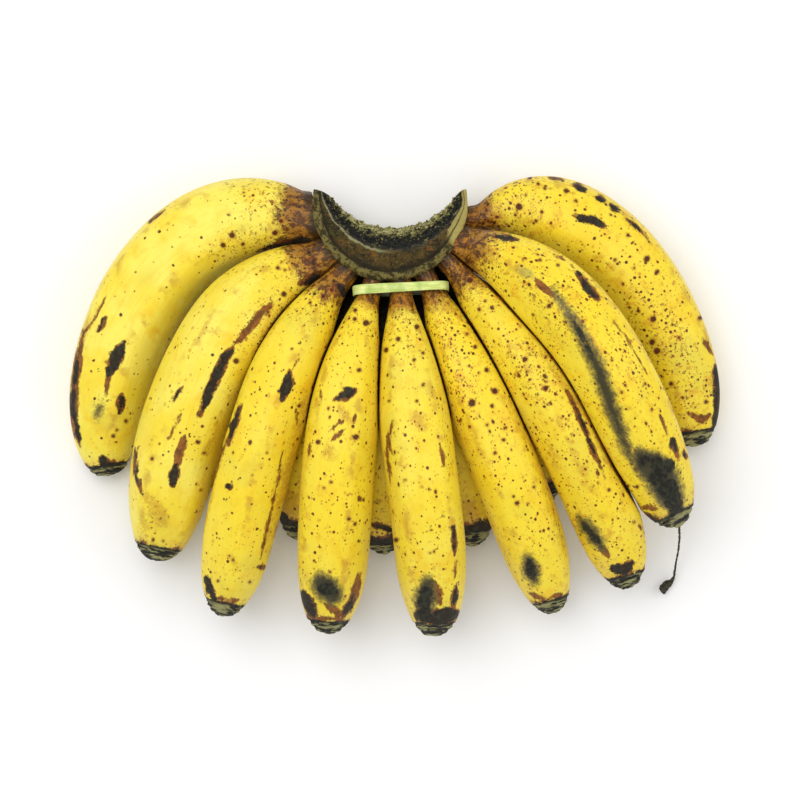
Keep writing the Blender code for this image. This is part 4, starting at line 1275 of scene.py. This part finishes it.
def strap_material():
    """Pale green split fibre, with painted shade darkening the run that goes under the necks."""
    s = Shader("green_strap_fine")
    strap = s.attribute("strap", vector=True)
    fibre = s.noise(s.stretch(strap, 0.12, 1.0, 0.4), 1.3, 3.0)
    patch = s.noise(strap, 0.14, 3.0)
    colour = s.mix(s.step(fibre, 0.3, 0.7), STRAP_GREEN, STRAP_PALE)
    colour = s.cover(colour, STRAP_DEEP, s.step(patch, 0.48, 0.7), 0.6)
    height = s.node("ShaderNodeSeparateXYZ")
    s.put(height.inputs["Vector"], strap)
    # Painted shade: the strap's lower run, under the necks, turns dark olive
    shaded_under = s.minus(1.0, s.step(height.outputs["Z"], -4.0, 3.0))
    colour = s.cover(colour, STRAP_UNDER_SHADE, shaded_under, 0.85)
    return s.finished(colour, 0.42, normal=s.bump(fibre, 0.0003))


def thread_rings():
    """Rings of the dried thread along a smooth curve through its points, with a lumpy knob."""
    places = np.array([place for place, _ in THREAD])
    shares = np.array([share for _, share in THREAD])
    run = lengths_along(places)
    steps = np.linspace(0.0, run[-1], THREAD_STATIONS)
    line = blend(steps, run, places)
    for _ in range(6):
        line[1:-1] = (line[:-2] + 2.0 * line[1:-1] + line[2:]) / 4.0
    radius = THREAD_RADIUS * np.interp(steps, run, shares)
    radius *= np.clip((run[-1] - steps) / 1.2, 0.35, 1.0) ** 0.5
    tangent = unit(np.gradient(line, axis=0))
    side = unit(np.cross(tangent, (0.0, 0.0, 1.0)))
    up = np.cross(side, tangent)
    turns = np.linspace(0.0, 2.0 * math.pi, THREAD_SIDES, endpoint=False)
    ring = np.cos(turns)[None, :, None] * side[:, None] + np.sin(turns)[None, :, None] * up[:, None]
    skin = (line[:, None] + ring * radius[:, None, None]).reshape(-1, 3)
    rough = 1.0 + 0.16 * wave_noise(skin, 2.6, 31)
    rough = np.clip(rough.reshape(len(line), -1), 0.7, 1.15) - 0.12
    return line[:, None] + ring * (radius[:, None] * rough)[..., None]


def make_thread():
    """The dried flower thread on the tip of the eighth front banana."""
    rings = thread_rings()
    mesh = new_mesh("dried_thread_fine", rings)
    add_attribute(mesh, "place", np.concatenate([rings.reshape(-1, 3), rings[0, :1], rings[-1, :1]]))
    piece = link("dried_thread_fine", mesh, thread_material())
    dress(piece, "dried_flower", "dried_flower_thread")


def thread_material():
    """Dry, nearly black flower, paler in its grain."""
    s = Shader("dried_flower_fine")
    grain = s.noise(s.attribute("place", vector=True), 1.2, 4.0, 0.65)
    colour = s.mix(s.step(grain, 0.45, 0.7), THREAD_DARK, THREAD_LIGHT)
    return s.finished(colour, 0.8, normal=s.bump(grain, 0.0004))


def add_floor():
    """A plain pale floor under the hand."""
    mesh = bpy.data.meshes.new("floor")
    corners = [(x * FLOOR_HALF, y * FLOOR_HALF, 0.0) for x, y in ((-1, -1), (1, -1), (1, 1), (-1, 1))]
    mesh.from_pydata(corners, [], [(0, 1, 2, 3)])
    floor = link("floor", mesh, Shader("pale_floor").finished(FLOOR_COLOUR, 0.9, 0.1))
    floor.location.z = -FLOOR_BELOW


def add_light(name, place, width, power):
    """A soft square light that faces the hand."""
    lamp = bpy.data.lights.new(name, "AREA")
    lamp.energy = power
    lamp.size = width
    thing = bpy.data.objects.new(name, lamp)
    thing.location = place
    facing = Vector(LIGHTS_FACE) - Vector(place)
    thing.rotation_euler = facing.to_track_quat("-Z", "Y").to_euler()
    bpy.context.scene.collection.objects.link(thing)


def add_studio():
    """Soft white light all round, a broad key from the upper left and a weaker fill."""
    world = bpy.data.worlds.new("studio")
    world.use_nodes = True
    sky = world.node_tree.nodes["Background"]
    sky.inputs["Color"].default_value = (1.0, 1.0, 1.0, 1.0)
    sky.inputs["Strength"].default_value = SKY_STRENGTH
    bpy.context.scene.world = world
    for light in LIGHTS:
        add_light(*light)
    bpy.context.scene.view_settings.view_transform = "Standard"


def add_camera():
    """The photograph's camera: straight above, far away, with a long lens."""
    data = bpy.data.cameras.new("camera")
    data.sensor_width = SENSOR_WIDTH
    data.lens = CAMERA_LENS
    data.clip_end = 100.0
    camera = bpy.data.objects.new("camera", data)
    middle = np.array(CAMERA_AIM) - HAND_MIDDLE
    camera.location = (middle[0] * MM, middle[1] * MM, CAMERA_HEIGHT * MM)
    bpy.context.scene.collection.objects.link(camera)
    bpy.context.scene.camera = camera


def main():
    """Build every piece, the stage and the camera."""
    add_camera()
    make_bananas()
    make_crown()
    make_band()
    make_thread()
    add_floor()
    add_studio()


main()
